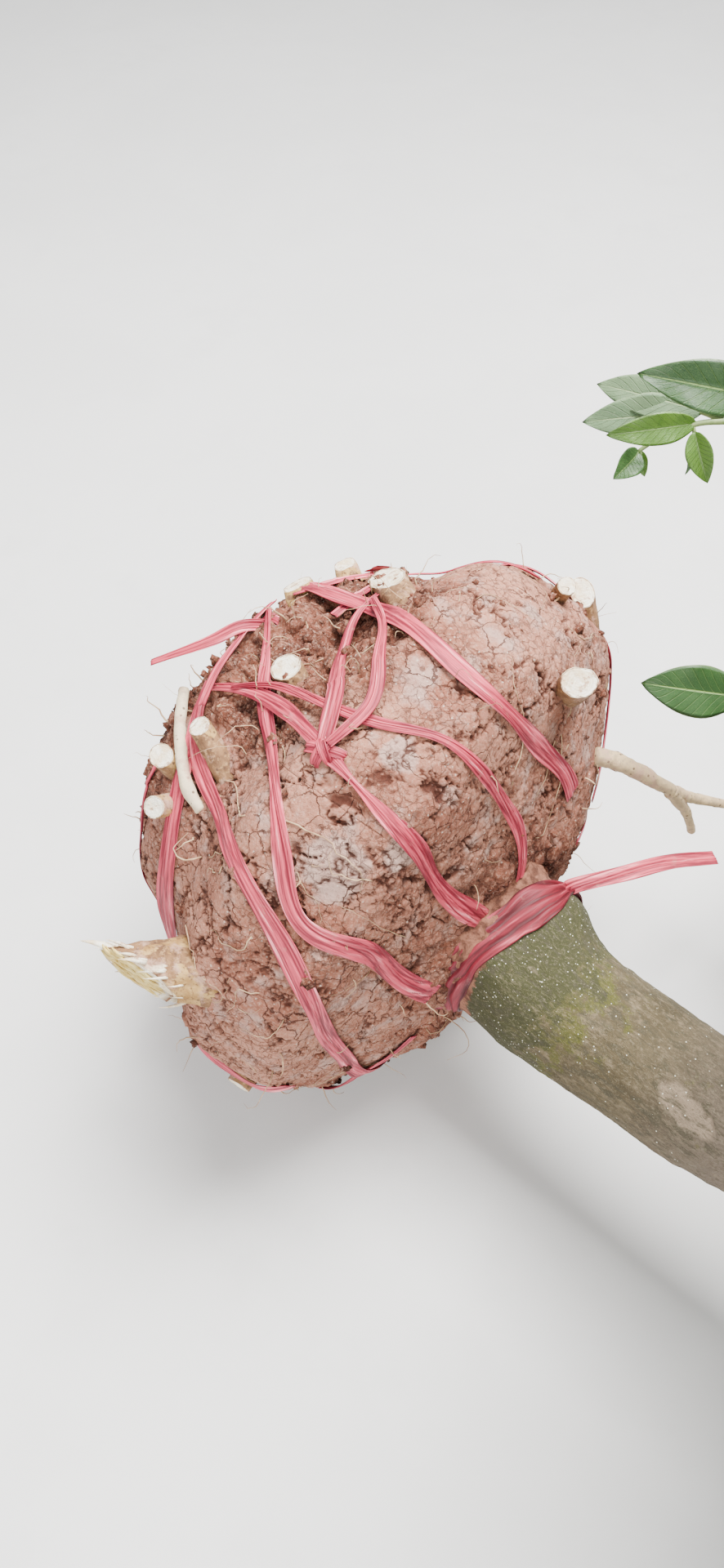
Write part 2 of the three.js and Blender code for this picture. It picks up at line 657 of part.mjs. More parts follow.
// Ribbons, in the order they were tied: points [below the collar, degrees from +Y towards up]
const RIBBONS = [
  {
    name: 'ribbon_low_near',
    route: [
      [8, 214], [40, 222], [90, 230], [160, 232], [230, 226], [282, 206], [304, 172], [308, 140],
    ],
  },
  {
    name: 'ribbon_low_far',
    route: [
      [8, 300], [40, 308], [100, 310], [170, 310], [240, 318], [288, 336], [304, 4], [304, 48],
    ],
  },
  {
    name: 'ribbon_far',
    route: [
      [8, 352], [50, 344], [90, 336], [180, 332], [245, 342], [288, 6], [300, 42],
    ],
  },
  {
    name: 'ribbon_near_outer',
    route: [
      [308, 124], [286, 148], [262, 160], [228, 174], [206, 194], [160, 204], [110, 200],
      [66, 192],
    ],
  },
  {
    name: 'ribbon_near_inner',
    route: [
      [306, 116], [290, 129], [238, 139], [190, 143], [144, 146], [96, 153], [53, 166],
      [32, 192], [14, 222],
    ],
  },
  {
    name: 'ribbon_shoulder',
    route: [
      [300, 92], [260, 106], [212, 116], [164, 126], [129, 134], [92, 138], [59, 142], [27, 150],
      [6, 160],
    ],
  },
  {
    name: 'ribbon_top_outer',
    route: [
      [298, 84], [276, 74], [256, 54], [222, 50], [187, 50], [142, 44], [94, 34], [52, 14],
      [16, 6],
    ],
  },
  {
    name: 'ribbon_top_inner',
    route: [
      [246, 88], [226, 60], [196, 60], [168, 60], [140, 52],
    ],
    width: 14,
  },
  {
    name: 'ribbon_crown',
    route: [
      [4, 122], [17, 122], [59, 120], [107, 118], [152, 116], [215, 113], [267, 114], [300, 118],
    ],
  },
  {
    name: 'ribbon_crest',
    route: [
      [228, 82], [196, 93], [160, 92], [132, 90], [91, 90], [49, 82], [20, 64], [8, 44],
    ],
  },
  {
    name: 'ribbon_crossing',
    route: [
      [272, 115], [251, 111], [180, 107], [139, 107], [91, 103], [56, 102], [20, 92], [5, 84],
    ],
    width: 16,
  },
  {
    name: 'ribbon_lash_long',
    route: [
      [152, 117], [172, 110], [192, 102], [214, 95], [234, 86], [250, 77],
    ],
    width: 12,
  },
  {
    name: 'ribbon_lash_short',
    route: [
      [192, 84], [176, 93], [161, 99], [144, 106], [136, 116],
    ],
    width: 12,
  },
  {
    name: 'ribbon_gather',
    route: [
      [305, 88], [298, 100], [294, 112], [286, 122],
    ],
    width: 16,
  },
];
const KNOTS = [
  { name: 'knot_crown', place: [152, 116] },
  { name: 'knot_bottom', place: [300, 94] },
];

// How far the ball's flat facets stand out of its smooth side, where the side is hollow
function facetRise(below, angle) {
  let ring = 0;
  while (ring + 2 < BALL_RINGS.length && below > BALL_RINGS[ring + 1]) ring += 1;
  const turn = (2 * Math.PI) / BALL_SIDES;
  const side = Math.floor(angle / turn);
  const up = (below - BALL_RINGS[ring]) / (BALL_RINGS[ring + 1] - BALL_RINGS[ring]);
  const round = angle / turn - side;
  const corner = (i, j) => ballPoint(BALL_RINGS[ring + i], (side + j) * turn);
  const shares = round > up ? [[0, 0, 1 - round], [0, 1, round - up], [1, 1, up]]
    : [[0, 0, 1 - up], [1, 1, round], [1, 0, up - round]];
  const point = new THREE.Vector3();
  shares.forEach(([i, j, share]) => point.addScaledVector(corner(i, j), share));
  return Math.max(0, point.sub(ballPoint(below, angle)).dot(ballNormal(below, angle)));
}

// Closely spaced spots along a ribbon, each lifted over the ribbons laid before
function ribbonPath(route, laid) {
  const plan = new THREE.CatmullRomCurve3(
    route.map(([below], i) => new THREE.Vector3(below, unwrapped(route, i), 0)), false, 'centripetal');
  return Array.from({ length: RIBBON_SAMPLES + 1 }, (_, i) => {
    const place = plan.getPoint(i / RIBBON_SAMPLES);
    const base = ballPoint(place.x, place.y * RADIANS);
    const normal = ballNormal(place.x, place.y * RADIANS);
    const height = laid.reduce((highest, earlier) => {
      const nearest = earlier.reduce((best, other) => {
        const distance = other.base.distanceTo(base);
        return distance < best.distance ? { distance, top: other.height + RIBBON_THICKNESS } : best;
      }, { distance: Infinity, top: 0 });
      const share = THREE.MathUtils.clamp(1 - (nearest.distance - CROSSING_REACH) / CROSSING_FADE, 0, 1);
      return Math.max(highest, (nearest.top + SEAT_GAP) * share);
    }, RIBBON_SEAT + facetRise(place.x, place.y * RADIANS));
    return { base, normal, height, point: base.clone().addScaledVector(normal, height) };
  });
}

// The fewest spots that keep a path within a small distance of its full course
function thinnedPath(path) {
  const line = new THREE.Line3(path[0].point, path[path.length - 1].point);
  const nearest = new THREE.Vector3();
  const off = path.map(({ point }) => line.closestPointToPoint(point, true, nearest).distanceTo(point));
  const worst = off.indexOf(Math.max(...off));
  if (off[worst] < RIBBON_TOLERANCE) return [path[0], path[path.length - 1]];
  return [...thinnedPath(path.slice(0, worst + 1)).slice(0, -1), ...thinnedPath(path.slice(worst))];
}

// Degrees of a route's point, counted on from the first without a jump
function unwrapped(route, index) {
  let degrees = route[0][1];
  for (let i = 1; i <= index; i += 1) {
    degrees += ((route[i][1] - route[i - 1][1] + 540) % 360) - 180;
  }
  return degrees;
}

// A flat strip through stations
function buildStrip(stations, width, grow) {
  const rings = stations.map((station, i) => {
    const before = stations[Math.max(i - 1, 0)].point;
    const after = stations[Math.min(i + 1, stations.length - 1)].point;
    const along = after.clone().sub(before).normalize();
    const side = new THREE.Vector3().crossVectors(along, station.normal).normalize();
    const end = i === 0 ? -grow : i === stations.length - 1 ? grow : 0;
    const corner = (across, lift) => station.point.clone()
      .addScaledVector(side, across * (width / 2 + grow))
      .addScaledVector(station.normal, lift)
      .addScaledVector(along, end);
    const top = RIBBON_THICKNESS + grow;
    return [corner(1, -grow), corner(-1, -grow), corner(-1, top), corner(1, top)];
  });
  const middle = (ring) => ring.reduce((sum, point) => sum.add(point), new THREE.Vector3()).divideScalar(4);
  return solidFromRings(rings, middle(rings[0]), middle(rings[rings.length - 1]));
}

// The wrap round the foot of the trunk
const WRAP_START = 8;
const WRAP_WIDTH = 26;
const WRAP_THICKNESS = 3;
const WRAP_ANGLE = 1.16;

function buildTrunkWrap(grow) {
  const outer = (along) => trunkRadius(along, WRAP_ANGLE) * (1 + LOBE_DEPTH) + WRAP_THICKNESS + grow;
  const inner = TRUNK_FOOT_RADIUS / 2;
  const low = WRAP_START - grow;
  const high = WRAP_START + WRAP_WIDTH + grow;
  const wide = outer(WRAP_START);
  const narrow = outer(WRAP_START + WRAP_WIDTH);
  const profile = [[inner, low], [wide, low], [narrow, high], [inner, high], [inner, low]];
  const ring = new THREE.LatheGeometry(profile.map(([x, y]) => new THREE.Vector2(x, y)), TRUNK_SIDES);
  ring.rotateZ(-Math.PI / 2);
  ring.translate(COLLAR.x, COLLAR.y, COLLAR.z);
  return toSolid(ring);
}

// Loose ends of ribbon, through points in space
const TAILS = [
  {
    name: 'ribbon_tail_bottom',
    points: [[-113, -8, 496], [-126, -36, 506], [-138, -64, 500], [-173, -108, 481]],
    width: 18,
  },
  {
    name: 'ribbon_tail_trunk',
    points: [[186, 60, 300], [230, 106, 304], [257, 151, 303], [285, 192, 293]],
    width: 16,
  },
];
const TAIL_STEPS = 4;

function buildTail(tail, grow) {
  const curve = new THREE.CatmullRomCurve3(tail.points.map(vec));
  const stations = Array.from({ length: TAIL_STEPS + 1 }, (_, i) => {
    const { over } = crossFrame(curve.getTangent(i / TAIL_STEPS));
    return { point: curve.getPoint(i / TAIL_STEPS), normal: over };
  });
  return buildStrip(stations, tail.width, grow);
}

// A knot: a low rounded lump on the ribbons it ties
function buildKnot(knot, grow) {
  const point = liftedPoint([...knot.place, 0]);
  const normal = ballNormal(knot.place[0], knot.place[1] * RADIANS);
  const lump = new THREE.SphereGeometry(1, KNOT_SIDES, KNOT_STEPS);
  lump.rotateX(Math.PI / 2);
  lump.scale(KNOT_LENGTH + grow, KNOT_WIDTH + grow, KNOT_HEIGHT + grow);
  lump.applyQuaternion(new THREE.Quaternion().setFromUnitVectors(UPWARD, normal));
  lump.translate(point.x, point.y, point.z);
  return toSolid(lump);
}

// Finishes
const finish = (color, roughness) => (
  new THREE.MeshStandardMaterial({ color, roughness, metalness: 0, flatShading: true }));
const SOIL = finish(0xa0664a, 0.95);
const BARK = finish(0x7a7460, 0.9);
const BOUGH_BARK = finish(0x6b6a50, 0.9);
const LEAF = finish(0x2f5220, 0.55);
const RIBBON = finish(0xb4445a, 0.5);
const ROOT_WOOD = finish(0xc9a878, 0.8);

// Each piece is trimmed clear of every piece laid before it
const plant = new THREE.Group();
const placed = [];

function place(name, material, build) {
  const blocked = placed.reduce((solid, earlier) => solid.subtract(earlier), build(0));
  plant.add(toMesh(name, largestPiece(blocked), material));
  placed.push(build(SEAT_GAP));
}

place('root_ball', SOIL, buildBall);
place('trunk', BARK, buildTrunk);
BOUGHS.forEach((bough) => place(bough.name, BOUGH_BARK, (grow) => buildBough(bough, grow)));
ROOTS.forEach((root) => place(root.name, ROOT_WOOD, (grow) => buildRoot(root, grow)));
place('root_forked', ROOT_WOOD, buildForkRoot);
place('ribbon_trunk_wrap', RIBBON, buildTrunkWrap);
const laid = [];
RIBBONS.forEach((ribbon) => {
  const path = ribbonPath(ribbon.route, laid);
  const stations = thinnedPath(path);
  const width = ribbon.width ?? RIBBON_WIDTH;
  place(ribbon.name, RIBBON, (grow) => buildStrip(stations, width, grow));
  laid.push(path);
});
KNOTS.forEach((knot) => place(knot.name, RIBBON, (grow) => buildKnot(knot, grow)));
TAILS.forEach((tail) => place(tail.name, RIBBON, (grow) => buildTail(tail, grow)));
MASSES.forEach((mass) => plant.add(toMesh(mass.name, buildMass(mass), LEAF)));

export default plant;
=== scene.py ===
"""Citrus sapling lying on its side, with a clay root ball bound in pleated ribbon.

Lengths are metres unless a name says otherwise, +Z is up, and the origin is on the ground under
the ball. The trunk lies level along +X, and the crown spreads out beyond it.
"""
import itertools
import logging
import math
from dataclasses import dataclass, field
from enum import Enum

import bpy
import numpy as np
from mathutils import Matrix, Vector


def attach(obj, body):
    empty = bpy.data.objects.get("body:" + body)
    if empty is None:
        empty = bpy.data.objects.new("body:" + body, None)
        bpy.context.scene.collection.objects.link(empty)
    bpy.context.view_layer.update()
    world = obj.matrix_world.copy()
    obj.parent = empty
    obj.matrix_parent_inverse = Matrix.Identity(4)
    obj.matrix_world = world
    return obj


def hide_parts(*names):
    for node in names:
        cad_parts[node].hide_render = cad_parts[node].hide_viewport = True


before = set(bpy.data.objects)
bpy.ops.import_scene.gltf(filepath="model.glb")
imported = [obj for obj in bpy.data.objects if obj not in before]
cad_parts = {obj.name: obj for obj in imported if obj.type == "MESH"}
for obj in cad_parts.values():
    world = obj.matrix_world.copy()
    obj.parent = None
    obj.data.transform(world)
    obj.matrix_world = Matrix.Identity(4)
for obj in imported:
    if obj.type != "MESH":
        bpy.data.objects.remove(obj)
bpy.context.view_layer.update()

Array = np.ndarray
Material = bpy.types.Material
Random = np.random.Generator
Pair = tuple[float, float]
Triple = tuple[float, float, float]
log = logging.getLogger("sapling")

MM = 0.001
BODY = "root"
UP = np.array([0.0, 0.0, 1.0])
TRUNK_AXIS = np.array([1.0, 0.0, 0.0])
GOLDEN_ANGLE = math.pi * (3 - math.sqrt(5))
TURN = math.tau
COLLAR = np.array([160.0, 0.0, 246.0]) * MM
LARGEST_WORD = 0xFFFFFFFF


class Slot(Enum):
    """Material slots of the record."""

    SOIL = "soil"
    TRUNK = "trunk_bark"
    BOUGH = "bough_bark"
    ROOT = "root_wood"
    RIBBON = "ribbon"
    LEAF = "leaves"


def unit(vectors: Array) -> Array:
    """Vectors scaled to length one."""
    return vectors / np.maximum(np.linalg.norm(vectors, axis=-1, keepdims=True), 1e-12)


def ease(value: Array, low: float, high: float) -> Array:
    """Smooth step that rises from 0 at low to 1 at high."""
    t = np.clip((value - low) / (high - low), 0.0, 1.0)
    return t * t * (3 - 2 * t)


def mix(first: Array, second: Array, share: Array) -> Array:
    """First value where share is 0, second where it is 1."""
    return first + (second - first) * share


def columns(*parts: Array) -> Array:
    """Coordinates stacked into rows of points."""
    return np.stack(np.broadcast_arrays(*parts), axis=-1).astype(float)


def cross_frame(direction: Array) -> tuple[Array, Array]:
    """Two directions square to each given one: level across, and over.

    Args:
        direction: unit vectors, one a row.

    Returns:
        The level direction and the one square to both.
    """
    across = np.cross(UP, direction)
    flat = np.linalg.norm(across, axis=-1, keepdims=True)
    across = np.where(flat < 1e-3, np.array([0.0, 1.0, 0.0]), across / np.maximum(flat, 1e-3))
    return across, np.cross(direction, across)


def lattice_hash(cell: Array, seed: int) -> Array:
    """Pseudo-random 32-bit numbers of whole lattice cells, by multiply and shift.

    Args:
        cell: whole coordinates, shape (..., 3).
        seed: picks one of many patterns.

    Returns:
        One number for each cell.
    """
    x, y, z = (cell[..., k].astype(np.int64).astype(np.uint32) for k in range(3))
    start = np.uint32((seed * 0x9E3779B9) & LARGEST_WORD)
    mixed = (x * np.uint32(0x8DA6B343)) ^ (y * np.uint32(0xD8163841)) ^ (z * np.uint32(0xCB1AB31F)) ^ start
    mixed = (mixed ^ (mixed >> np.uint32(13))) * np.uint32(0x5BD1E995)
    mixed = (mixed ^ (mixed >> np.uint32(15))) * np.uint32(0x27D4EB2F)
    return mixed ^ (mixed >> np.uint32(14))


def ten_bit_parts(number: Array) -> Array:
    """Three whole numbers from 0 to 1023 out of each 32-bit one."""
    return np.stack([(number >> np.uint32(s)) & np.uint32(1023) for s in (0, 10, 20)], -1)


def gradient_noise(points: Array, seed: int) -> Array:
    """Smooth noise between about -1 and 1: random slopes at lattice corners, eased between them.

    Args:
        points: places in units of the noise's own size, shape (n, 3).
        seed: picks the pattern.

    Returns:
        One value for each point.
    """
    base = np.floor(points)
    offset = points - base
    fade = offset ** 3 * (offset * (offset * 6 - 15) + 10)
    total = np.zeros(len(points))
    for corner in itertools.product((0, 1), repeat=3):
        step = np.array(corner)
        slopes = ten_bit_parts(lattice_hash(base + step, seed)) / 511.5 - 1
        weight = np.prod(np.where(step == 1, fade, 1 - fade), axis=-1)
        total += weight * np.sum(slopes * (offset - step), axis=-1)
    return total * 1.3


def fractal(points: Array, seed: int, octaves: int = 4, gain: float = 0.5) -> Array:
    """Noise summed over octaves, each twice as fine as the last and gain times as high."""
    heights = [gain ** k * gradient_noise(points * 2.03 ** k, seed + k) for k in range(octaves)]
    return np.sum(heights, axis=0)


def cell_noise(points: Array, seed: int) -> tuple[Array, Array, Array]:
    """Distances to the nearest two of the random points that stand one to a lattice cell.

    Args:
        points: places in units of the cells' size, shape (n, 3).
        seed: picks the pattern.

    Returns:
        Nearest distance, second distance, and a number from 0 to 1 that belongs to the nearest point.
    """
    base = np.floor(points)
    nearest = np.full(len(points), 9.0)
    second = np.full(len(points), 9.0)
    owner = np.zeros(len(points))
    for corner in itertools.product((-1, 0, 1), repeat=3):
        cell = base + np.array(corner)
        number = lattice_hash(cell, seed)
        spot = ten_bit_parts(number) / 1023.0
        distance = np.linalg.norm(cell + spot - points, axis=-1)
        closer = distance < nearest
        second = np.where(closer, nearest, np.minimum(second, distance))
        owner = np.where(closer, (number & np.uint32(65535)) / 65535.0, owner)
        nearest = np.where(closer, distance, nearest)
    return nearest, second, owner


def spline(points: Array, count: int) -> Array:
    """Points on a centripetal curve through the given ones, even in the curve's own parameter.

    Each stretch is a cubic whose end slopes come from the neighbours, weighted by the square root
    of the chords.

    Args:
        points: places that the curve passes, shape (m, k).
        count: how many points to return.

    Returns:
        Shape (count, k).
    """
    padded = np.vstack([2 * points[0] - points[1], points, 2 * points[-1] - points[-2]])
    place = np.linspace(0, len(points) - 1, count)
    k = np.minimum(place.astype(int), len(points) - 2)
    p0, p1, p2, p3 = (padded[k + i] for i in range(4))
    d0, d1, d2 = (np.sqrt(np.linalg.norm(b - a, axis=-1, keepdims=True)) + 1e-6
                  for a, b in ((p0, p1), (p1, p2), (p2, p3)))
    leave = ((p1 - p0) / d0 - (p2 - p0) / (d0 + d1) + (p2 - p1) / d1) * d1
    reach = ((p2 - p1) / d1 - (p3 - p1) / (d1 + d2) + (p3 - p2) / d2) * d1
    w = (place - k)[:, None]
    return (p1 * (2 * w ** 3 - 3 * w ** 2 + 1) + leave * (w ** 3 - 2 * w ** 2 + w)
            + p2 * (3 * w ** 2 - 2 * w ** 3) + reach * (w ** 3 - w ** 2))


def bend(start: Array, via: Array, end: Array, t: Array) -> Array:
    """Points on parabolas from start to end that lean to via.

    Args:
        start: first points, shape (k, 3).
        via: points that the curves lean to, shape (k, 3).
        end: last points, shape (k, 3).
        t: shares of the way, shape (r,).

    Returns:
        Shape (k, r, 3).
    """
    w = t[None, :, None]
    return start[:, None] * (1 - w) ** 2 + via[:, None] * 2 * w * (1 - w) + end[:, None] * w ** 2


def arc_length(path: Array) -> Array:
    """Length of a path from its first point to each of its points."""
    return np.concatenate([[0], np.cumsum(np.linalg.norm(np.diff(path, axis=0), axis=1))])


def around(across: Array, over: Array, angle: Array) -> Array:
    """Directions that stand at angles in radians from across towards over."""
    return across * np.cos(angle)[..., None] + over * np.sin(angle)[..., None]


def grid_faces(index: Array) -> Array:
    """Faces of four corners between neighbours on a grid of point numbers."""
    return np.stack([index[:-1, :-1], index[1:, :-1], index[1:, 1:], index[:-1, 1:]], -1).reshape(-1, 4)


def part_way(paths: Array, place: Array) -> tuple[Array, Array]:
    """Points on paths, found by straight lines between the two stations that each lies between.

    Args:
        paths: shape (k, stations, 3).
        place: how many stations along its path each point is, shape (k, m).

    Returns:
        The points and the paths' directions there, shape (k, m, 3) each.
    """
    owner = np.arange(len(paths))[:, None]
    low = np.minimum(place.astype(int), paths.shape[1] - 2)
    step = paths[owner, low + 1] - paths[owner, low]
    return paths[owner, low] + step * (place - low)[..., None], unit(step)


@dataclass
class Shape:
    """A mesh as arrays: points, faces of four and three corners, and what is dealt out over them."""

    points: Array
    quads: Array = field(default_factory=lambda: np.zeros((0, 4), int))
    triangles: Array = field(default_factory=lambda: np.zeros((0, 3), int))
    uv: Array | None = None
    fields: dict[str, Array] = field(default_factory=dict)
    finish_of_quads: Array | None = None
    finish_of_triangles: Array | None = None
    flat_quads: Array | None = None

    def volume(self) -> float:
        """Signed volume, positive where the faces point outwards."""
        corners = np.vstack([self.quads[:, [0, 1, 2]], self.quads[:, [0, 2, 3]], self.triangles])
        a, b, c = (self.points[corners[:, k]] for k in range(3))
        return float(np.sum(np.cross(a, b) * c) / 6)

    def outward(self) -> "Shape":
        """The same shape with its faces turned so that they point outwards."""
        if self.volume() < 0:
            self.quads = self.quads[:, ::-1]
            self.triangles = self.triangles[:, ::-1]
        return self

    def finished(self, index: int) -> "Shape":
        """The same shape with every face in one finish."""
        self.finish_of_quads = np.full(len(self.quads), index)
        self.finish_of_triangles = np.full(len(self.triangles), index)
        return self

    def dealt(self, **values: float) -> "Shape":
        """The same shape with fields that each have one value at all its points."""
        self.fields = {name: np.full(len(self.points), float(value)) for name, value in values.items()}
        return self

    def count(self) -> int:
        """Number of triangles once each face of four corners is cut in two."""
        return 2 * len(self.quads) + len(self.triangles)


def joined(shapes: list[Shape]) -> Shape:
    """One shape of several.

    Args:
        shapes: the parts, whose fields and uv are kept where all of them have them.

    Returns:
        The joined shape.
    """
    starts = np.cumsum([0] + [len(shape.points) for shape in shapes])
    whole = Shape(np.vstack([shape.points for shape in shapes]))
    whole.quads = np.vstack([shape.quads + start for shape, start in zip(shapes, starts)])
    whole.triangles = np.vstack([shape.triangles + start for shape, start in zip(shapes, starts)])
    if all(shape.uv is not None for shape in shapes):
        whole.uv = np.vstack([shape.uv for shape in shapes])
    for name in shapes[0].fields:
        whole.fields[name] = np.concatenate([shape.fields[name] for shape in shapes])
    if all(shape.finish_of_quads is not None for shape in shapes):
        whole.finish_of_quads = np.concatenate([shape.finish_of_quads for shape in shapes])
        whole.finish_of_triangles = np.concatenate([shape.finish_of_triangles for shape in shapes])
    return whole


def closed_tubes(rings: Array, first: Array, last: Array) -> Shape:
    """Closed tubes: rings of points joined by faces, with a fan to one point at each end.

    Args:
        rings: shape (tubes, stations, sides, 3).
        first: end points before the first ring, shape (tubes, 3).
        last: end points after the last ring, shape (tubes, 3).

    Returns:
        The shape, whose points are all rings, then the first ends, then the last ends. Its uv is
        the share round each ring and the share along each tube.
    """
    tubes, stations, sides, _ = rings.shape
    index = np.arange(tubes * stations * sides).reshape(tubes, stations, sides)
    right = np.roll(index, -1, axis=2)
    quads = np.stack([index[:, :-1], right[:, :-1], right[:, 1:], index[:, 1:]], -1).reshape(-1, 4)
    ends = index.size + np.arange(2 * tubes).reshape(2, tubes)
    near = np.stack([np.broadcast_to(ends[0][:, None], (tubes, sides)), right[:, 0], index[:, 0]], -1)
    far = np.stack([np.broadcast_to(ends[1][:, None], (tubes, sides)), index[:, -1], right[:, -1]], -1)
    points = np.vstack([rings.reshape(-1, 3), first, last])
    round_share = np.broadcast_to(np.arange(sides) / sides, (tubes, stations, sides))
    along_share = np.broadcast_to(np.linspace(0, 1, stations)[None, :, None], (tubes, stations, sides))
    ring_uv = np.stack([round_share, along_share], -1).reshape(-1, 2)
    end_uv = np.vstack([np.tile([0.5, 0.0], (tubes, 1)), np.tile([0.5, 1.0], (tubes, 1))])
    return Shape(points, quads, np.vstack([near.reshape(-1, 3), far.reshape(-1, 3)]),
                 uv=np.vstack([ring_uv, end_uv]))


def rings_along(paths: Array, radii: Array, sides: int) -> Array:
    """Rings square to paths, each ring's first point level across.

    Args:
        paths: shape (tubes, stations, 3).
        radii: shape (tubes, stations) or (tubes, stations, sides).
        sides: points in a ring.

    Returns:
        Shape (tubes, stations, sides, 3).
    """
    tangents = unit(np.gradient(paths, axis=1))
    across, over = cross_frame(tangents)
    angle = TURN * np.arange(sides) / sides
    spread = np.broadcast_to(radii[..., None] if radii.ndim == 2 else radii, (*paths.shape[:2], sides))
    return (paths[:, :, None]
            + across[:, :, None] * (np.cos(angle) * spread)[..., None]
            + over[:, :, None] * (np.sin(angle) * spread)[..., None])


def tubes(paths: Array, radii: Array, sides: int) -> Shape:
    """Round closed tubes along paths, blunt at both ends."""
    rings = rings_along(paths, radii, sides)
    return closed_tubes(rings, paths[:, 0], paths[:, -1]).outward()


def make_piece(name: str, shape: Shape, finishes: list[Material], slot: Slot,
               replaced: tuple[str, ...] = ()) -> bpy.types.Object:
    """Puts a shape into Blender as one piece of the plant.

    Args:
        name: the piece's name.
        shape: its mesh as arrays.
        finishes: its materials, in the order that the shape's finish numbers count.
        slot: the record's slot for its finish; not used.
        replaced: the CAD nodes that it stands for.

    Returns:
        The object, which rides on the plant's one body.
    """
    mesh = bpy.data.meshes.new(name)
    mesh.vertices.add(len(shape.points))
    mesh.vertices.foreach_set("co", shape.points.astype(np.float32).ravel())
    corners = np.concatenate([shape.quads.ravel(), shape.triangles.ravel()]).astype(np.int32)
    sizes = np.concatenate([np.full(len(shape.quads), 4), np.full(len(shape.triangles), 3)])
    mesh.loops.add(len(corners))
    mesh.loops.foreach_set("vertex_index", corners)
    mesh.polygons.add(len(sizes))
    mesh.polygons.foreach_set("loop_start", (np.cumsum(sizes) - sizes).astype(np.int32))
    smooth = np.ones(len(sizes), bool)
    if shape.flat_quads is not None:
        smooth[:len(shape.quads)] = ~shape.flat_quads
    mesh.polygons.foreach_set("use_smooth", smooth)
    if shape.finish_of_quads is not None:
        finish_numbers = np.concatenate([shape.finish_of_quads, shape.finish_of_triangles])
        mesh.polygons.foreach_set("material_index", finish_numbers.astype(np.int32))
    if shape.uv is not None:
        layer = mesh.uv_layers.new(name="Surface")
        layer.data.foreach_set("uv", shape.uv[corners].astype(np.float32).ravel())
    for key, values in shape.fields.items():
        mesh.attributes.new(key, "FLOAT", "POINT").data.foreach_set("value", values.astype(np.float32))
    mesh.update(calc_edges=True)
    mesh.validate()
    for finish in finishes:
        mesh.materials.append(finish)
    piece = bpy.data.objects.new(name, mesh)
    bpy.context.scene.collection.objects.link(piece)
    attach(piece, BODY)
    if replaced:
        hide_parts(*replaced)
    log.info("%s: %d triangles", name, shape.count())
    return piece


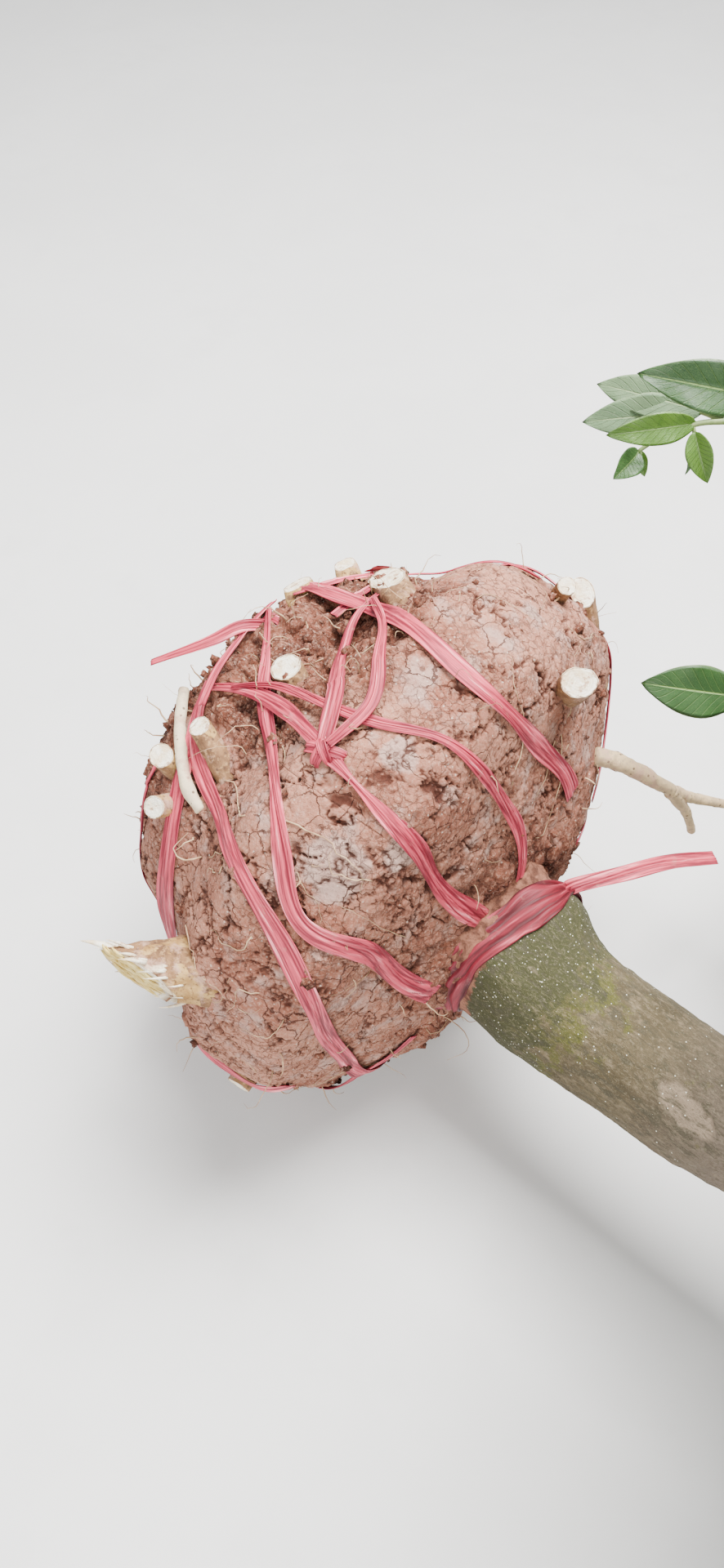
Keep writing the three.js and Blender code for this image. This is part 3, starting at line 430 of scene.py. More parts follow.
@dataclass
class RootBall:
    """The clay ball: a profile turned round a tilted axis, with a cracked cut side and broken ends.

    Places on it are given by a station, which runs in millimetres from the flat top inwards of the
    rim (negative), down the side (0 to side_end), and in over the shallow bottom dome, and by an
    angle in radians from +Y towards up.
    """

    length: float = 340.0
    side_end: float = 325.0
    top_radius: float = 100.0
    bottom_radius: float = 165.0
    profile: tuple[Pair, ...] = (
        (0, 100), (10, 150), (24, 190), (80, 277), (155, 288), (230, 234), (290, 212), (325, 165))
    pitch: float = -6.0
    yaw: float = 4.5
    shift: Pair = (12.0, 4.0)
    drift: Pair = (18.0, 6.0)
    drift_over: float = 60.0
    turn_over: float = 60.0
    lumps: tuple[tuple[float, float, float, float], ...] = ((4, 3, 330, 1.3), (3, 5, -260, 0.7))
    lump_fade: float = 60.0
    wedges: tuple[tuple[float, float, int], ...] = ((20, 122, 286), (122, 224, 286), (224, 380, 200))
    rows: int = 340
    top_station: float = -66.0
    break_centre: Triple = (-45.0, 0.0, 500.0)
    break_weights: Triple = (1.15, 0.9, 1.0)
    break_reach: float = 0.128
    ash_patches: tuple[Triple, ...] = ((94, 131, 42), (101, 110, 22), (60, 122, 26))
    plate_size: float = 0.050
    fine_plate_size: float = 0.021
    clod_size: float = 0.046
    lump_size: float = 0.019
    crumb_size: float = 0.0095

    def __post_init__(self) -> None:
        """Works out the axis and the slopes of the profile at its knots."""
        pitch, yaw = math.radians(self.pitch), math.radians(self.yaw)
        self.axis = np.array([math.cos(pitch) * math.cos(yaw), math.cos(pitch) * math.sin(yaw),
                              math.sin(pitch)])
        knots = np.array(self.profile)
        slopes = np.diff(knots[:, 1]) / np.diff(knots[:, 0])
        product = slopes[:-1] * slopes[1:]
        inner = np.where(product > 0, 2 * product / (slopes[:-1] + slopes[1:] + 1e-12), 0)
        self.knots = knots
        self.knot_slopes = np.concatenate([[slopes[0]], inner, [slopes[-1]]])

    def profile_radius(self, below: Array) -> Array:
        """Radius of the plain ball, by cubics between the profile's knots that never overshoot.

        Args:
            below: millimetres below the collar.

        Returns:
            Millimetres.
        """
        place = np.clip(below, 0, self.side_end)
        k = np.clip(np.searchsorted(self.knots[:, 0], place, side="left") - 1, 0, len(self.knots) - 2)
        span = self.knots[k + 1, 0] - self.knots[k, 0]
        t = (place - self.knots[k, 0]) / span
        rise = self.knots[k + 1, 1] - self.knots[k, 1]
        start, end = self.knot_slopes[k] * span, self.knot_slopes[k + 1] * span
        return (self.knots[k, 1] + start * t + (3 * rise - 2 * start - end) * t ** 2
                + (start + end - 2 * rise) * t ** 3)

    def form(self, station: Array, angle: Array) -> Array:
        """Places on the plain ball, before any relief.

        The radius is the profile plus long low waves that wind round the axis, scaled down to
        nothing over the flat top and, with a quarter ellipse in depth, over the bottom dome.

        Args:
            station: millimetres, as the class describes.
            angle: radians from +Y towards up.

        Returns:
            Points, shape (..., 3).
        """
        inward = np.clip((station - self.side_end) / self.bottom_radius, 0, 1)
        below = np.clip(station, 0, self.side_end)
        waves = sum(height * np.sin(count * angle + TURN * below / wave + phase)
                    for height, count, wave, phase in self.lumps)
        radius = self.profile_radius(below) + waves * ease(below, 0, self.lump_fade)
        radius = radius * np.clip(1 + station / self.top_radius, 0, 1) * (1 - inward)
        dome = (self.length - self.side_end) * np.sqrt(1 - (1 - inward) ** 2)
        below = below + dome
        across0, over0 = cross_frame(self.axis[None])
        drift = ease(below, 0, self.drift_over)[..., None]
        centre = (COLLAR - below[..., None] * MM * self.axis
                  + (self.shift[0] + self.drift[0] * drift) * MM * across0[0]
                  + (self.shift[1] + self.drift[1] * drift) * MM * over0[0])
        axis = unit(mix(TRUNK_AXIS, self.axis, ease(below, 0, self.turn_over)[..., None]))
        across, over = cross_frame(axis)
        return (centre + across * (np.cos(angle) * radius * MM)[..., None]
                + over * (np.sin(angle) * radius * MM)[..., None])

    def normal(self, station: Array, angle: Array) -> Array:
        """Outward directions of the plain ball, from short steps along it and round it.

        Args:
            station: millimetres, any shape.
            angle: radians, the same shape.

        Returns:
            Unit vectors.
        """
        low = np.maximum(station - 7, -96)
        high = np.minimum(station + 7, self.side_end + self.bottom_radius * 0.985)
        along = self.form(high, angle) - self.form(low, angle)
        turning = self.form(station, angle + 0.05) - self.form(station, angle - 0.05)
        return unit(np.cross(along, turning))

    def roughness(self, points: Array, station: Array) -> Array:
        """How broken the soil is, from 0 to 1.

        It is 1 at the torn bottom and on its upper rim, less near the trunk, and 0 on the cut side.

        Args:
            points: places on the plain ball, shape (n, 3).
            station: their stations in millimetres.

        Returns:
            One share for each point.
        """
        wander = fractal(points / 0.055, 31, 3) * 0.030
        apart = (points - np.array(self.break_centre) * MM) * np.array(self.break_weights)
        torn = np.linalg.norm(apart, axis=-1)
        bottom = 1 - ease(torn + wander, self.break_reach - 0.035, self.break_reach)
        dome = ease(station + wander * 900, 296, 322)
        rim = 1 - ease(station + wander * 500, -4, 16)
        under = 1 - ease(points[:, 2] + wander, 0.05, 0.12)
        return np.clip(np.maximum.reduce([bottom, dome, rim * 0.7, under * 0.8]), 0, 1)

    def relief(self, points: Array, station: Array) -> tuple[Array, Array, Array]:
        """Height of the soil's relief, with its roughness and the shade of its hollows.

        The cut side is smooth plates parted by thin cracks along the borders of warped random
        cells. Bands of crumbs, small domes over the nearest points of fine cells, run between the
        plates and grow towards the trunk. The broken soil is clods of three sizes, made alike.

        Args:
            points: places on the plain ball, shape (n, 3).
            station: their stations in millimetres.

        Returns:
            Height in metres, roughness from 0 to 1, and hollow from 0 to 1, which is painted shade in cracks,
            pits and gaps between clods.
        """
        rough = self.roughness(points, station)
        warp = np.stack([fractal(points / 0.034, seed, 4, 0.62) for seed in (41, 42, 43)], -1)
        bent = points + warp * 0.013
        near, far, plate = cell_noise(bent / self.plate_size, 51)
        wide_crack = 1 - ease(far - near, 0.01, 0.060)
        near2, far2, plate2 = cell_noise(bent / self.fine_plate_size, 52)
        fine_crack = 1 - ease(far2 - near2, 0.02, 0.13)
        presence = ease(fractal(points / 0.06, 53, 3), -0.30, 0.30)
        fine_presence = ease(fractal(points / 0.04, 54, 3), -0.10, 0.35)
        grain = fractal(points / 0.009, 55, 3, 0.6)
        pits = ease(fractal(points / 0.0058, 56, 2), 0.36, 0.70)
        swell = fractal(points / 0.12, 57, 3) * 0.0075
        near_trunk = 1 - ease(station, 20, 110)
        band = ease(fractal(points / 0.050, 58, 4, 0.6) + near_trunk * 0.42, 0.24, 0.60)
        lump, _, lump_height = cell_noise(bent / self.lump_size, 62)
        crumb, _, crumb_height = cell_noise(bent / self.crumb_size, 63)
        crumbs = ((0.30 - lump ** 2 + lump_height * 0.5) * 0.0030
                  + (0.3 - crumb ** 2 + crumb_height * 0.5) * 0.0021)
        plates = ((plate - 0.5) * 0.0022 * presence + (plate2 - 0.5) * 0.0010 * fine_presence
                  + grain * 0.0005)
        smooth_height = (swell + mix(plates, crumbs, band) - wide_crack * presence * 0.0048
                         - fine_crack * fine_presence * 0.0024 - pits * 0.0014)
        clod, _, clod_height = cell_noise(bent / self.clod_size, 61)
        rough_height = ((0.35 - clod ** 2 + clod_height * 0.35) * 0.017
                        + (0.35 - lump ** 2 + lump_height * 0.5) * 0.0085
                        + (0.35 - crumb ** 2 + crumb_height * 0.5) * 0.0040 + grain * 0.0008
                        + fractal(points / 0.16, 64, 2) * 0.009)
        height = mix(smooth_height, rough_height, rough)
        # crease and cracks mark the painted shade: between clods, along cracks, in pits and between crumbs
        crease = np.clip(lump ** 2 * 0.8 + crumb ** 2 * 0.5 + clod ** 2 * 0.55 - 0.55, 0, 1)
        cracks = np.clip(wide_crack * presence + 0.7 * fine_crack * fine_presence + 0.5 * pits
                         + band * np.clip(crumb ** 2 * 0.6 + lump ** 2 * 0.3 - 0.35, 0, 0.42), 0, 1)
        return height, rough, mix(cracks, crease, rough)

    def surface(self, station: Array, angle: Array) -> tuple[Array, Array, Array]:
        """Places on the soil with its relief, never below the ground.

        Args:
            station: millimetres, any shape.
            angle: radians, the same shape.

        Returns:
            Points, roughness and hollow.
        """
        shape = np.shape(station)
        flat_station, flat_angle = np.ravel(station), np.ravel(angle)
        base = self.form(flat_station, flat_angle)
        height, rough, hollow = self.relief(base, flat_station)
        points = base + self.normal(flat_station, flat_angle) * height[:, None]
        points[:, 2] = np.maximum(points[:, 2], 0.0)
        return points.reshape(*shape, 3), rough.reshape(shape), hollow.reshape(shape)

    def stations(self) -> Array:
        """Stations of the rows, evenly spaced along the surface from the trunk to the bottom's middle."""
        dense = np.linspace(self.top_station, self.side_end + self.bottom_radius * 0.99, 1500)
        path = self.form(dense, np.zeros(len(dense)))
        length = arc_length(path)
        return np.interp(np.linspace(0, length[-1], self.rows), length, dense)

    def wedge(self, first: float, last: float, steps: int) -> Shape:
        """One closed wedge of the ball between two angles, its inner walls meeting on the axis.

        Args:
            first: angle in degrees where it starts.
            last: angle in degrees where it ends.
            steps: faces round it.

        Returns:
            The shape, with rough and hollow as fields.
        """
        stations = self.stations()
        angles = np.radians(np.linspace(first, last, steps + 1))
        grid_station, grid_angle = np.meshgrid(stations, angles, indexing="ij")
        points, rough, hollow = self.surface(grid_station, grid_angle)
        there, opposite = (self.form(stations, np.full(self.rows, turn)) for turn in (0.0, np.pi))
        rows, sides = points.shape[:2]
        index = np.arange(rows * sides).reshape(rows, sides)
        spine = rows * sides + np.arange(rows)
        skin = grid_faces(index)
        start = np.stack([spine[:-1], spine[1:], index[1:, 0], index[:-1, 0]], -1)
        end = np.stack([index[:-1, -1], index[1:, -1], spine[1:], spine[:-1]], -1)
        top = np.stack([np.full(sides - 1, spine[0]), index[0, :-1], index[0, 1:]], -1)
        bottom = np.stack([np.full(sides - 1, spine[-1]), index[-1, 1:], index[-1, :-1]], -1)
        shape = Shape(np.vstack([points.reshape(-1, 3), (there + opposite) / 2]),
                      np.vstack([skin, start, end]), np.vstack([top, bottom]))
        ash = np.zeros(rows * sides)
        for station, turn, reach in self.ash_patches:
            spot = self.form(np.array([station]), np.array([math.radians(turn)]))
            away = np.linalg.norm(shape.points[:rows * sides] - spot, axis=1) / MM / reach
            ash = np.maximum(ash, 0.85 * (1 - ease(away, 0.3, 1.3)))
        shape.fields = {"rough": np.concatenate([rough.ravel(), np.ones(rows)]),
                        "hollow": np.concatenate([hollow.ravel(), np.zeros(rows)]),
                        "ash": np.concatenate([ash, np.zeros(rows)])}
        shape.flat_quads = np.arange(len(shape.quads)) >= len(skin)
        return shape.outward()

    def build(self, soil: Material) -> None:
        """Makes the wedges of the ball's skin."""
        names = ("soil_far_side", "soil_near_side", "soil_underside")
        for name, (first, last, steps) in zip(names, self.wedges):
            shape = self.wedge(first, last, steps)
            make_piece(name, shape, [soil], Slot.SOIL, ("root_ball",) if name == names[0] else ())


@dataclass
class Crumbs:
    """Loose crumbs and small clods that cling to the broken soil."""

    ball: RootBall
    count: int = 1500
    tries_each: int = 9
    smallest: float = 0.0015
    largest: float = 0.0085
    lowest: float = 0.012
    rings: int = 5
    sides: int = 7

    def build(self, soil: Material) -> None:
        """Scatters rounded, lumpy pebbles over the rough places, sunk about a third in."""
        random = np.random.default_rng(5)
        tries = self.count * self.tries_each
        station = random.uniform(2, self.ball.side_end + 120, tries)
        angle = random.uniform(0, TURN, tries)
        points, rough, _ = self.ball.surface(station, angle)
        chosen = random.random(tries) < 0.06 + rough ** 2
        keep = np.flatnonzero(chosen & (points[:, 2] > self.lowest))[:self.count]
        points, normals = points[keep], self.ball.normal(station[keep], angle[keep])
        size = mix(self.smallest, self.largest, random.random(len(keep)) ** 3)
        rise = np.pi * (np.arange(self.rings) + 0.5) / self.rings
        turn = TURN * np.arange(self.sides) / self.sides
        form = columns(np.sin(rise)[:, None] * np.cos(turn), np.sin(rise)[:, None] * np.sin(turn),
                       np.cos(rise)[:, None] * np.ones(self.sides))
        chance = random.standard_normal((len(keep), self.rings, self.sides, 1))
        squash = random.uniform(0.55, 1.0, (len(keep), 1, 1, 3))
        body = form[None] * (1 + 0.28 * chance.clip(-1.6, 1.6)) * squash * size[:, None, None, None]
        centre = points + normals * (size * 0.25)[:, None]
        top = UP * (size * squash[:, 0, 0, 2])[:, None]
        shape = closed_tubes(body + centre[:, None, None], centre + top, centre - top).outward()
        make_piece("soil_crumbs", shape.dealt(rough=0.8, hollow=0.0), [soil], Slot.SOIL)


@dataclass(frozen=True)
class Strap:
    """One run of ribbon over the ball: its places (mm below the collar, degrees), and how it lies.

    It is drawn in at the waist, a share of its length, and open_share turns its face to the open
    side. Its width goes from one share of the full width to another, as the taper says.
    """

    name: str
    route: tuple[Pair, ...]
    width: float = 21.0
    pinch_start: float = 0.0
    pinch_end: float = 0.0
    taper: Pair = (1.0, 1.0)
    waist: float = -1.0
    open_share: float = 0.0


STRAPS = (
    Strap("ribbon_low_near", ((8, 214), (40, 222), (90, 230), (160, 232), (230, 226), (282, 206),
                              (304, 172), (308, 140)), pinch_end=0.5),
    Strap("ribbon_low_far", ((8, 300), (40, 308), (100, 310), (170, 310), (240, 318), (288, 336),
                             (304, 4), (304, 48))),
    Strap("ribbon_far", ((8, 352), (50, 344), (90, 336), (180, 332), (245, 342), (288, 6), (300, 42))),
    Strap("ribbon_near_outer", ((308, 118), (289, 127), (277, 136), (259, 147), (247, 158), (240, 172),
                                (225, 184), (204, 195), (160, 203), (110, 200), (66, 192)),
          width=24.0, pinch_start=0.5, open_share=0.5),
    Strap("ribbon_near_inner", ((306, 116), (292, 127), (277, 131), (249, 136), (220, 137), (190, 138),
                                (167, 139), (142, 142), (110, 147), (79, 152), (55, 163), (34, 190),
                                (36, 206), (40, 225), (46, 245)), width=25.0, pinch_start=0.5),
    Strap("ribbon_shoulder", ((300, 92), (273, 103), (253, 110), (210, 119), (169, 125), (150, 130),
                              (131, 135), (112, 141), (92, 144), (70, 143), (50, 143), (21, 149),
                              (8, 159), (2, 172)), pinch_start=0.6, taper=(0.60, 1.55)),
    Strap("ribbon_top_outer", ((298, 84), (276, 74), (256, 54), (222, 50), (187, 50), (142, 44),
                               (94, 34), (52, 14), (16, 6))),
    Strap("ribbon_top_inner", ((246, 88), (226, 60), (196, 60), (168, 60), (140, 52)), width=13.0),
    Strap("ribbon_crown", ((4, 122), (17, 122), (59, 120), (107, 118), (152, 116), (215, 113),
                           (267, 114), (300, 118)), width=25.0, pinch_end=0.3, taper=(1.15, 0.60),
          waist=0.54),
    Strap("ribbon_crest", ((301, 79), (286, 81), (271, 83), (245, 83), (218, 83), (201, 85), (182, 88),
                           (163, 90), (131, 91), (89, 92), (53, 88), (26, 72), (10, 50)), width=26.0,
          pinch_start=0.6),
    Strap("ribbon_crossing", ((273, 115), (251, 111), (210, 109), (176, 110), (154, 109), (137, 108),
                              (108, 106), (91, 103), (56, 102), (20, 92), (5, 84)), width=17.0,
          pinch_start=0.4, taper=(0.6, 1.2)),
    Strap("ribbon_lash_long", ((151, 117), (158, 114), (163, 110), (169, 107), (183, 103), (204, 98),
                               (216, 92), (224, 85), (218, 80)), width=22.0, pinch_start=0.7,
          pinch_end=0.3, taper=(1.3, 0.6)),
    Strap("ribbon_lash_short", ((216, 82), (200, 86), (183, 90), (171, 94), (163, 98), (153, 102),
                                (139, 104), (138, 107), (147, 111), (150, 115)), width=14.0,
          pinch_end=0.3, taper=(0.7, 1.2)),
    Strap("ribbon_gather", ((305, 88), (298, 100), (294, 112), (286, 122)), width=15.0, pinch_end=0.4),
)
KNOTS = (("knot_crown", 152, 116, 0.034), ("knot_bottom", 300, 94, 0.036))
LOOSE_ENDS = (
    ("ribbon_tail_bottom", ((-113, -8, 496), (-126, -36, 506), (-138, -64, 500), (-173, -108, 481)),
     0.015, 0.9),
    ("ribbon_tail_trunk", ((197, 57, 297), (204, 67, 302), (232, 107, 306), (257, 151, 303),
                           (285, 192, 293)), 0.023, -0.7),
)


@dataclass
class Ribbon:
    """The ribbon that binds the ball: thin film gathered into lengthwise pleats."""

    ball: RootBall
    upward: Array
    step: float = 0.0035
    across: int = 29
    film: float = 0.0006
    seat: float = 0.0006
    pleat_height: float = 0.0014
    narrower: float = 0.70
    tie_angle: float = 0.73
    run_in: float = 24.0
    run_in_before: float = 20.0
    run_in_turns: Pair = (55.0, 170.0)
    samples: int = 400
    pull_reach: int = 9
    laid: list[tuple[Array, Array]] = field(default_factory=list)

    def strip(self, path: Array, normals: Array, width: float, pinch: Pair, seed: int,
              taper: Pair = (1.0, 1.0), waist: float = -1.0) -> Shape:
        """A pleated band of film along a path.

        Across the band the film rises and falls as a triangle wave, so its pleats have sharp
        creases. The wave's phase and pitch wander along the band, and a finer wave rides on it.
        The width wavers, and narrows where the band is pinched.

        Args:
            path: middle of the band, shape (n, 3).
            normals: which way its face looks, shape (n, 3).
            width: full width in metres.
            pinch: how much narrower it is at its start and end, from 0 to 1.
            seed: picks the pleats.
            taper: shares of the width at its start and end.
            waist: share of the length where it is drawn in, or below 0 for nowhere.

        Returns:
            A closed shape, with uv as metres across and along, and a field of painted shade along the pleats'
            troughs.
        """
        count = len(path)
        tangent = unit(np.gradient(path, axis=0))
        side = unit(np.cross(tangent, normals))
        face = np.cross(side, tangent)
        length = arc_length(path)
        share = np.linspace(0, 1, count)
        pinched = pinch[0] * (1 - ease(share, 0, 0.16)) + pinch[1] * ease(share, 0.84, 1)
        waver = gradient_noise(columns(length / 0.085, 0, seed), 71)
        half = width / 2 * self.narrower * (1.0 + 0.55 * waver) * (1 - 0.62 * pinched)
        half = half * mix(taper[0], taper[1], share) * (1 - 0.62 * np.exp(-((share - waist) / 0.05) ** 2))
        lane = np.linspace(-1, 1, self.across)
        grid_length, grid_lane = np.meshgrid(length, lane, indexing="ij")
        sideways = grid_lane * (half[:, None] * np.ones(self.across))
        drift = gradient_noise(columns(length / 0.15, 0.3, seed * 1.7), 72)
        pitch = 1.0 + 0.45 * gradient_noise(columns(length / 0.19, 4.1, seed), 76)
        angle = np.pi * (grid_lane * pitch[:, None] * 1.35 + 2.2 * drift[:, None] + seed * 0.6)
        split = gradient_noise(columns(grid_length / 0.09, grid_lane * 1.5, seed * 3.1).reshape(-1, 3), 73)
        shown = gradient_noise(columns(grid_length / 0.05, grid_lane * 2.6, seed * 2.3).reshape(-1, 3), 78)
        main = np.arcsin(np.sin(angle)) * 2 / np.pi
        fine = np.arcsin(np.sin(angle * 3.1 + 3.0 * split.reshape(angle.shape))) * 2 / np.pi
        gathered = 1 + 1.6 * pinched[:, None]
        curl = gradient_noise(columns(length / 0.07, 3.0, seed), 74)
        lift = self.pleat_height * gathered * (0.5 + 0.5 * main + 0.30 * fine) * (1 - 0.35 * grid_lane ** 2)
        lift = lift + np.maximum(curl[:, None] * grid_lane, 0) * 0.0016 * grid_lane ** 2
        lift = np.maximum(lift - lift.min(axis=1, keepdims=True) * 0.75, 0) + self.film
        top = path[:, None] + side[:, None] * sideways[..., None] + face[:, None] * lift[..., None]
        bottom = top - face[:, None] * self.film
        rings = np.concatenate([top, bottom[:, ::-1]], axis=1)[None]
        shape = closed_tubes(rings, rings[:, 0].mean(axis=1), rings[:, -1].mean(axis=1))
        over = np.stack([sideways, grid_length], -1)
        sheet = np.concatenate([over, over[:, ::-1]], axis=1).reshape(-1, 2)
        shape.uv = np.vstack([sheet, [[0, 0], [0, length[-1]]]])
        seen = ease(shown.reshape(angle.shape) + 0.5 * pinched[:, None], -0.30, 0.10)
        # painted shade along the troughs of the pleats
        pleat_shade = np.maximum(np.clip(1 - 2.6 * (1 + main), 0, 1),
                            seen * np.clip(1 - 1.7 * (1 + fine), 0, 1))
        shape.fields = {"pleat_shade": np.append(np.concatenate([pleat_shade, pleat_shade[:, ::-1]], axis=1), [0, 0])}
        return shape.outward()

    @staticmethod
    def steadied(rows: Array, reach: int = 15) -> Array:
        """Rows of values evened out along their length by a smooth window, both ends kept in place."""
        window = np.hanning(2 * reach + 3)[1:-1]
        padded = np.pad(rows, ((reach, reach), (0, 0)), mode="reflect", reflect_type="odd")
        return np.stack([np.convolve(column, window / window.sum(), "valid") for column in padded.T], -1)

    def course(self, strap: Strap) -> tuple[Array, Array]:
        """The middle line of a strap drawn taut over the relief and over the straps laid before it.

        Where the strap starts or ends by the trunk on the open side, its line first runs on towards
        the trunk. It is then evened out, and lifted by the highest of the relief under its width
        and under the reach that the film spans, by what was laid before, and by its own seat.

        Args:
            strap: the run of ribbon.

        Returns:
            Points and the directions that its face looks in.
        """
        plan = np.array(strap.route, float)
        low, high = self.run_in_turns
        if plan[0, 0] < self.run_in_before and low < plan[0, 1] < high:
            plan = np.vstack([plan[0] - (self.run_in, 0), plan])
        if plan[-1, 0] < self.run_in_before and low < plan[-1, 1] < high:
            plan = np.vstack([plan, plan[-1] - (self.run_in, 0)])
        turns = np.concatenate([[0], np.cumsum((np.diff(plan[:, 1]) + 180) % 360 - 180)])
        plan[:, 1] = plan[0, 1] + turns
        dense = spline(plan, self.samples)
        length = arc_length(self.ball.form(dense[:, 0], np.radians(dense[:, 1])))
        count = max(20, int(length[-1] / self.step))
        steps = np.arange(self.samples)
        even = np.interp(np.linspace(0, length[-1], count), length, steps)
        station = np.interp(even, steps, dense[:, 0])
        angle = np.radians(np.interp(even, steps, dense[:, 1]))
        base, normal = self.ball.form(station, angle), self.ball.normal(station, angle)
        steady = self.steadied(base)
        normal = unit(self.steadied(normal))
        base = steady + normal * self.steadied(np.sum((base - steady) * normal, axis=1, keepdims=True))
        side = unit(np.cross(unit(np.gradient(base, axis=0)), normal))
        heights = []
        for share in (-0.9, -0.45, 0.0, 0.45, 0.9):
            spot = base + side * (share * strap.width * self.narrower / 2 * MM)
            heights.append(self.ball.relief(spot, station)[0])
        height = np.percentile(np.stack(heights), 93, axis=0)
        reach = self.pull_reach
        padded = np.pad(height, reach, mode="edge")
        windows = np.lib.stride_tricks.sliding_window_view(padded, 2 * reach + 1)
        taut = np.maximum(windows.max(axis=1) * 0.5 + windows.mean(axis=1) * 0.5, height)
        for earlier_base, earlier_top in self.laid:
            gap = np.linalg.norm(base[:, None] - earlier_base[None], axis=-1)
            share = 1 - ease(gap.min(axis=1), 0.010, 0.042)
            taut = np.maximum(taut, mix(taut, earlier_top[gap.argmin(axis=1)], share))
        smooth = np.hanning(2 * reach + 3)[1:-1]
        taut = np.convolve(np.pad(taut, reach, mode="edge"), smooth / smooth.sum(), "valid")
        taut = np.maximum(taut, height - 0.0008) + self.seat
        self.laid.append((base, taut + self.film + self.pleat_height * 0.8))
        ends = np.sin(np.pi * np.linspace(0, 1, count)) ** 0.5
        turn = (strap.open_share * ends)[:, None]
        lifted = taut[:, None] + turn * strap.width * self.narrower * 0.40 * MM
        return base + normal * lifted, unit(mix(normal, self.upward, turn))

    def tail(self, points: tuple[Triple, ...], twist: float) -> tuple[Array, Array]:
        """A loose end of ribbon.

        Args:
            points: places in millimetres that it runs through.
            twist: radians by which its face has turned from the open side at its end.

        Returns:
            Its path in metres, and the direction that its face looks in along it.
        """
        path = spline(np.array(points) * MM, 60)
        tangent = unit(np.gradient(path, axis=0))
        open_side = unit(self.upward - tangent * (tangent @ self.upward)[:, None])
        turn = (np.linspace(0, 1, len(path)) ** 2 * twist)[:, None]
        return path, open_side * np.cos(turn) + np.cross(tangent, open_side) * np.sin(turn)

    def knot(self, station: float, angle: float, size: float, seed: int) -> Shape:
        """A tied knot: three short bands arched over one another, each turned from the last.

        Args:
            station: where it is, in millimetres below the collar.
            angle: and in degrees.
            size: length of a band in metres.
            seed: picks the pleats.

        Returns:
            The joined shape.
        """
        places, turns = np.array([station]), np.array([math.radians(angle)])
        base, normal = self.ball.form(places, turns)[0], self.ball.normal(places, turns)[0]
        across, over = cross_frame(normal[None])
        bands = []
        for k, (turn, scale) in enumerate(((0.3, 1.0), (1.5, 0.8), (2.5, 0.62))):
            heading = across[0] * math.cos(turn) + over[0] * math.sin(turn)
            t = np.linspace(-1, 1, 22)
            arch = np.sqrt(np.maximum(1 - t ** 2, 0)) * (0.0065 + 0.0022 * k) + 0.001
            path = base + heading * (t * size * scale / 2)[:, None] + normal * arch[:, None]
            fall = unit(normal + heading * (t * 0.9)[:, None])
            bands.append(self.strip(path, fall, size * 0.5 * scale, (0.2, 0.2), seed + k))
        return joined(bands)

    def trunk_wrap(self, middle: float, half: float, seed: int) -> Shape:
        """A gathered band slung round the foot of the trunk, tied where it stands highest.

        Args:
            middle: mean distance of its middle line from the collar in millimetres.
            half: half its usual width in millimetres.
            seed: picks the pleats.

        Returns:
            A closed ring as a shape.
        """
        steps = 220
        angle = np.linspace(0, TURN, steps, endpoint=False)
        slung = middle + 20 * np.cos(angle - self.tie_angle) + 2.0 * np.sin(angle * 2 + 1)
        lane = np.linspace(-1, 1, self.across)
        tied = np.exp(-((angle - self.tie_angle + np.pi) % TURN - np.pi) ** 2 / 0.10)
        reach = half * (1.08 + 0.14 * np.sin(angle * 3 + seed) - 0.62 * tied)[:, None]
        ragged = 1 + 0.16 * gradient_noise(columns(np.cos(angle) * 3, np.sin(angle) * 3, seed), 77)[:, None]
        along = slung[:, None] + lane * reach * ragged
        turned = columns(np.cos(angle)[:, None] * 1.6, np.sin(angle)[:, None] * 1.6, lane * 0.8 + seed)
        wander = gradient_noise(turned.reshape(-1, 3), 75).reshape(steps, -1)
        folds = 0.5 + np.arcsin(np.sin(lane * 11 + 7 * wander)) / np.pi
        trunk = Trunk()
        bare = trunk.radius(along, angle[:, None] * np.ones_like(lane))
        radius = bare + 1.6 + 2.8 * folds * (1 + tied[:, None])
        centre = trunk.centre(along)
        out = columns(0 * angle, np.cos(angle), np.sin(angle))[:, None]
        top = centre + out * (radius * MM)[..., None]
        under = centre + out * ((radius - 2.0) * MM)[..., None]
        section = np.concatenate([top, under[:, ::-1]], axis=1)
        sides = section.shape[1]
        index = np.arange(steps * sides).reshape(steps, sides)
        beside = np.roll(index, -1, 1)
        quads = np.stack([index, beside, np.roll(beside, -1, 0), np.roll(index, -1, 0)], -1).reshape(-1, 4)
        shape = Shape(section.reshape(-1, 3), quads)
        width = np.concatenate([lane, lane[::-1]]) * 0.013
        shape.uv = np.stack(np.broadcast_arrays(width[None], (angle * 0.075)[:, None]), -1).reshape(-1, 2)
        # painted shade in the troughs of the wrap's folds
        pleat_shade = np.clip(0.75 - 1.5 * folds, 0, 1)
        shape.fields = {"pleat_shade": np.concatenate([pleat_shade, pleat_shade[:, ::-1]], axis=1).ravel()}
        return shape.outward()

    def build(self, film: Material, deep: Material) -> None:
        """Lays the straps in the order that they were tied, then the knots, wrap and loose ends."""
        for seed, strap in enumerate(STRAPS):
            path, normals = self.course(strap)
            pinch = (strap.pinch_start, strap.pinch_end)
            self.tied(strap.name, self.strip(path, normals, strap.width * MM, pinch, seed, strap.taper,
                                             strap.waist), film)
        for seed, (name, station, angle, size) in enumerate(KNOTS):
            self.tied(name, self.knot(station, angle, size, 30 + 5 * seed), film)
        # the wrap takes the darker film, painted shade of the ribbon
        self.tied("ribbon_trunk_wrap", self.trunk_wrap(20, 15, 4), deep)
        for name, points, width, twist in LOOSE_ENDS:
            path, normals = self.tail(points, twist)
            self.tied(name, self.strip(path, normals, width, (0.6, 0.0), len(name)), film)

    @staticmethod
    def tied(node: str, shape: Shape, finish: Material) -> None:
        """Puts in one piece of film that stands for the node of its name."""
        make_piece(node + "_film", shape, [finish], Slot.RIBBON, (node,))


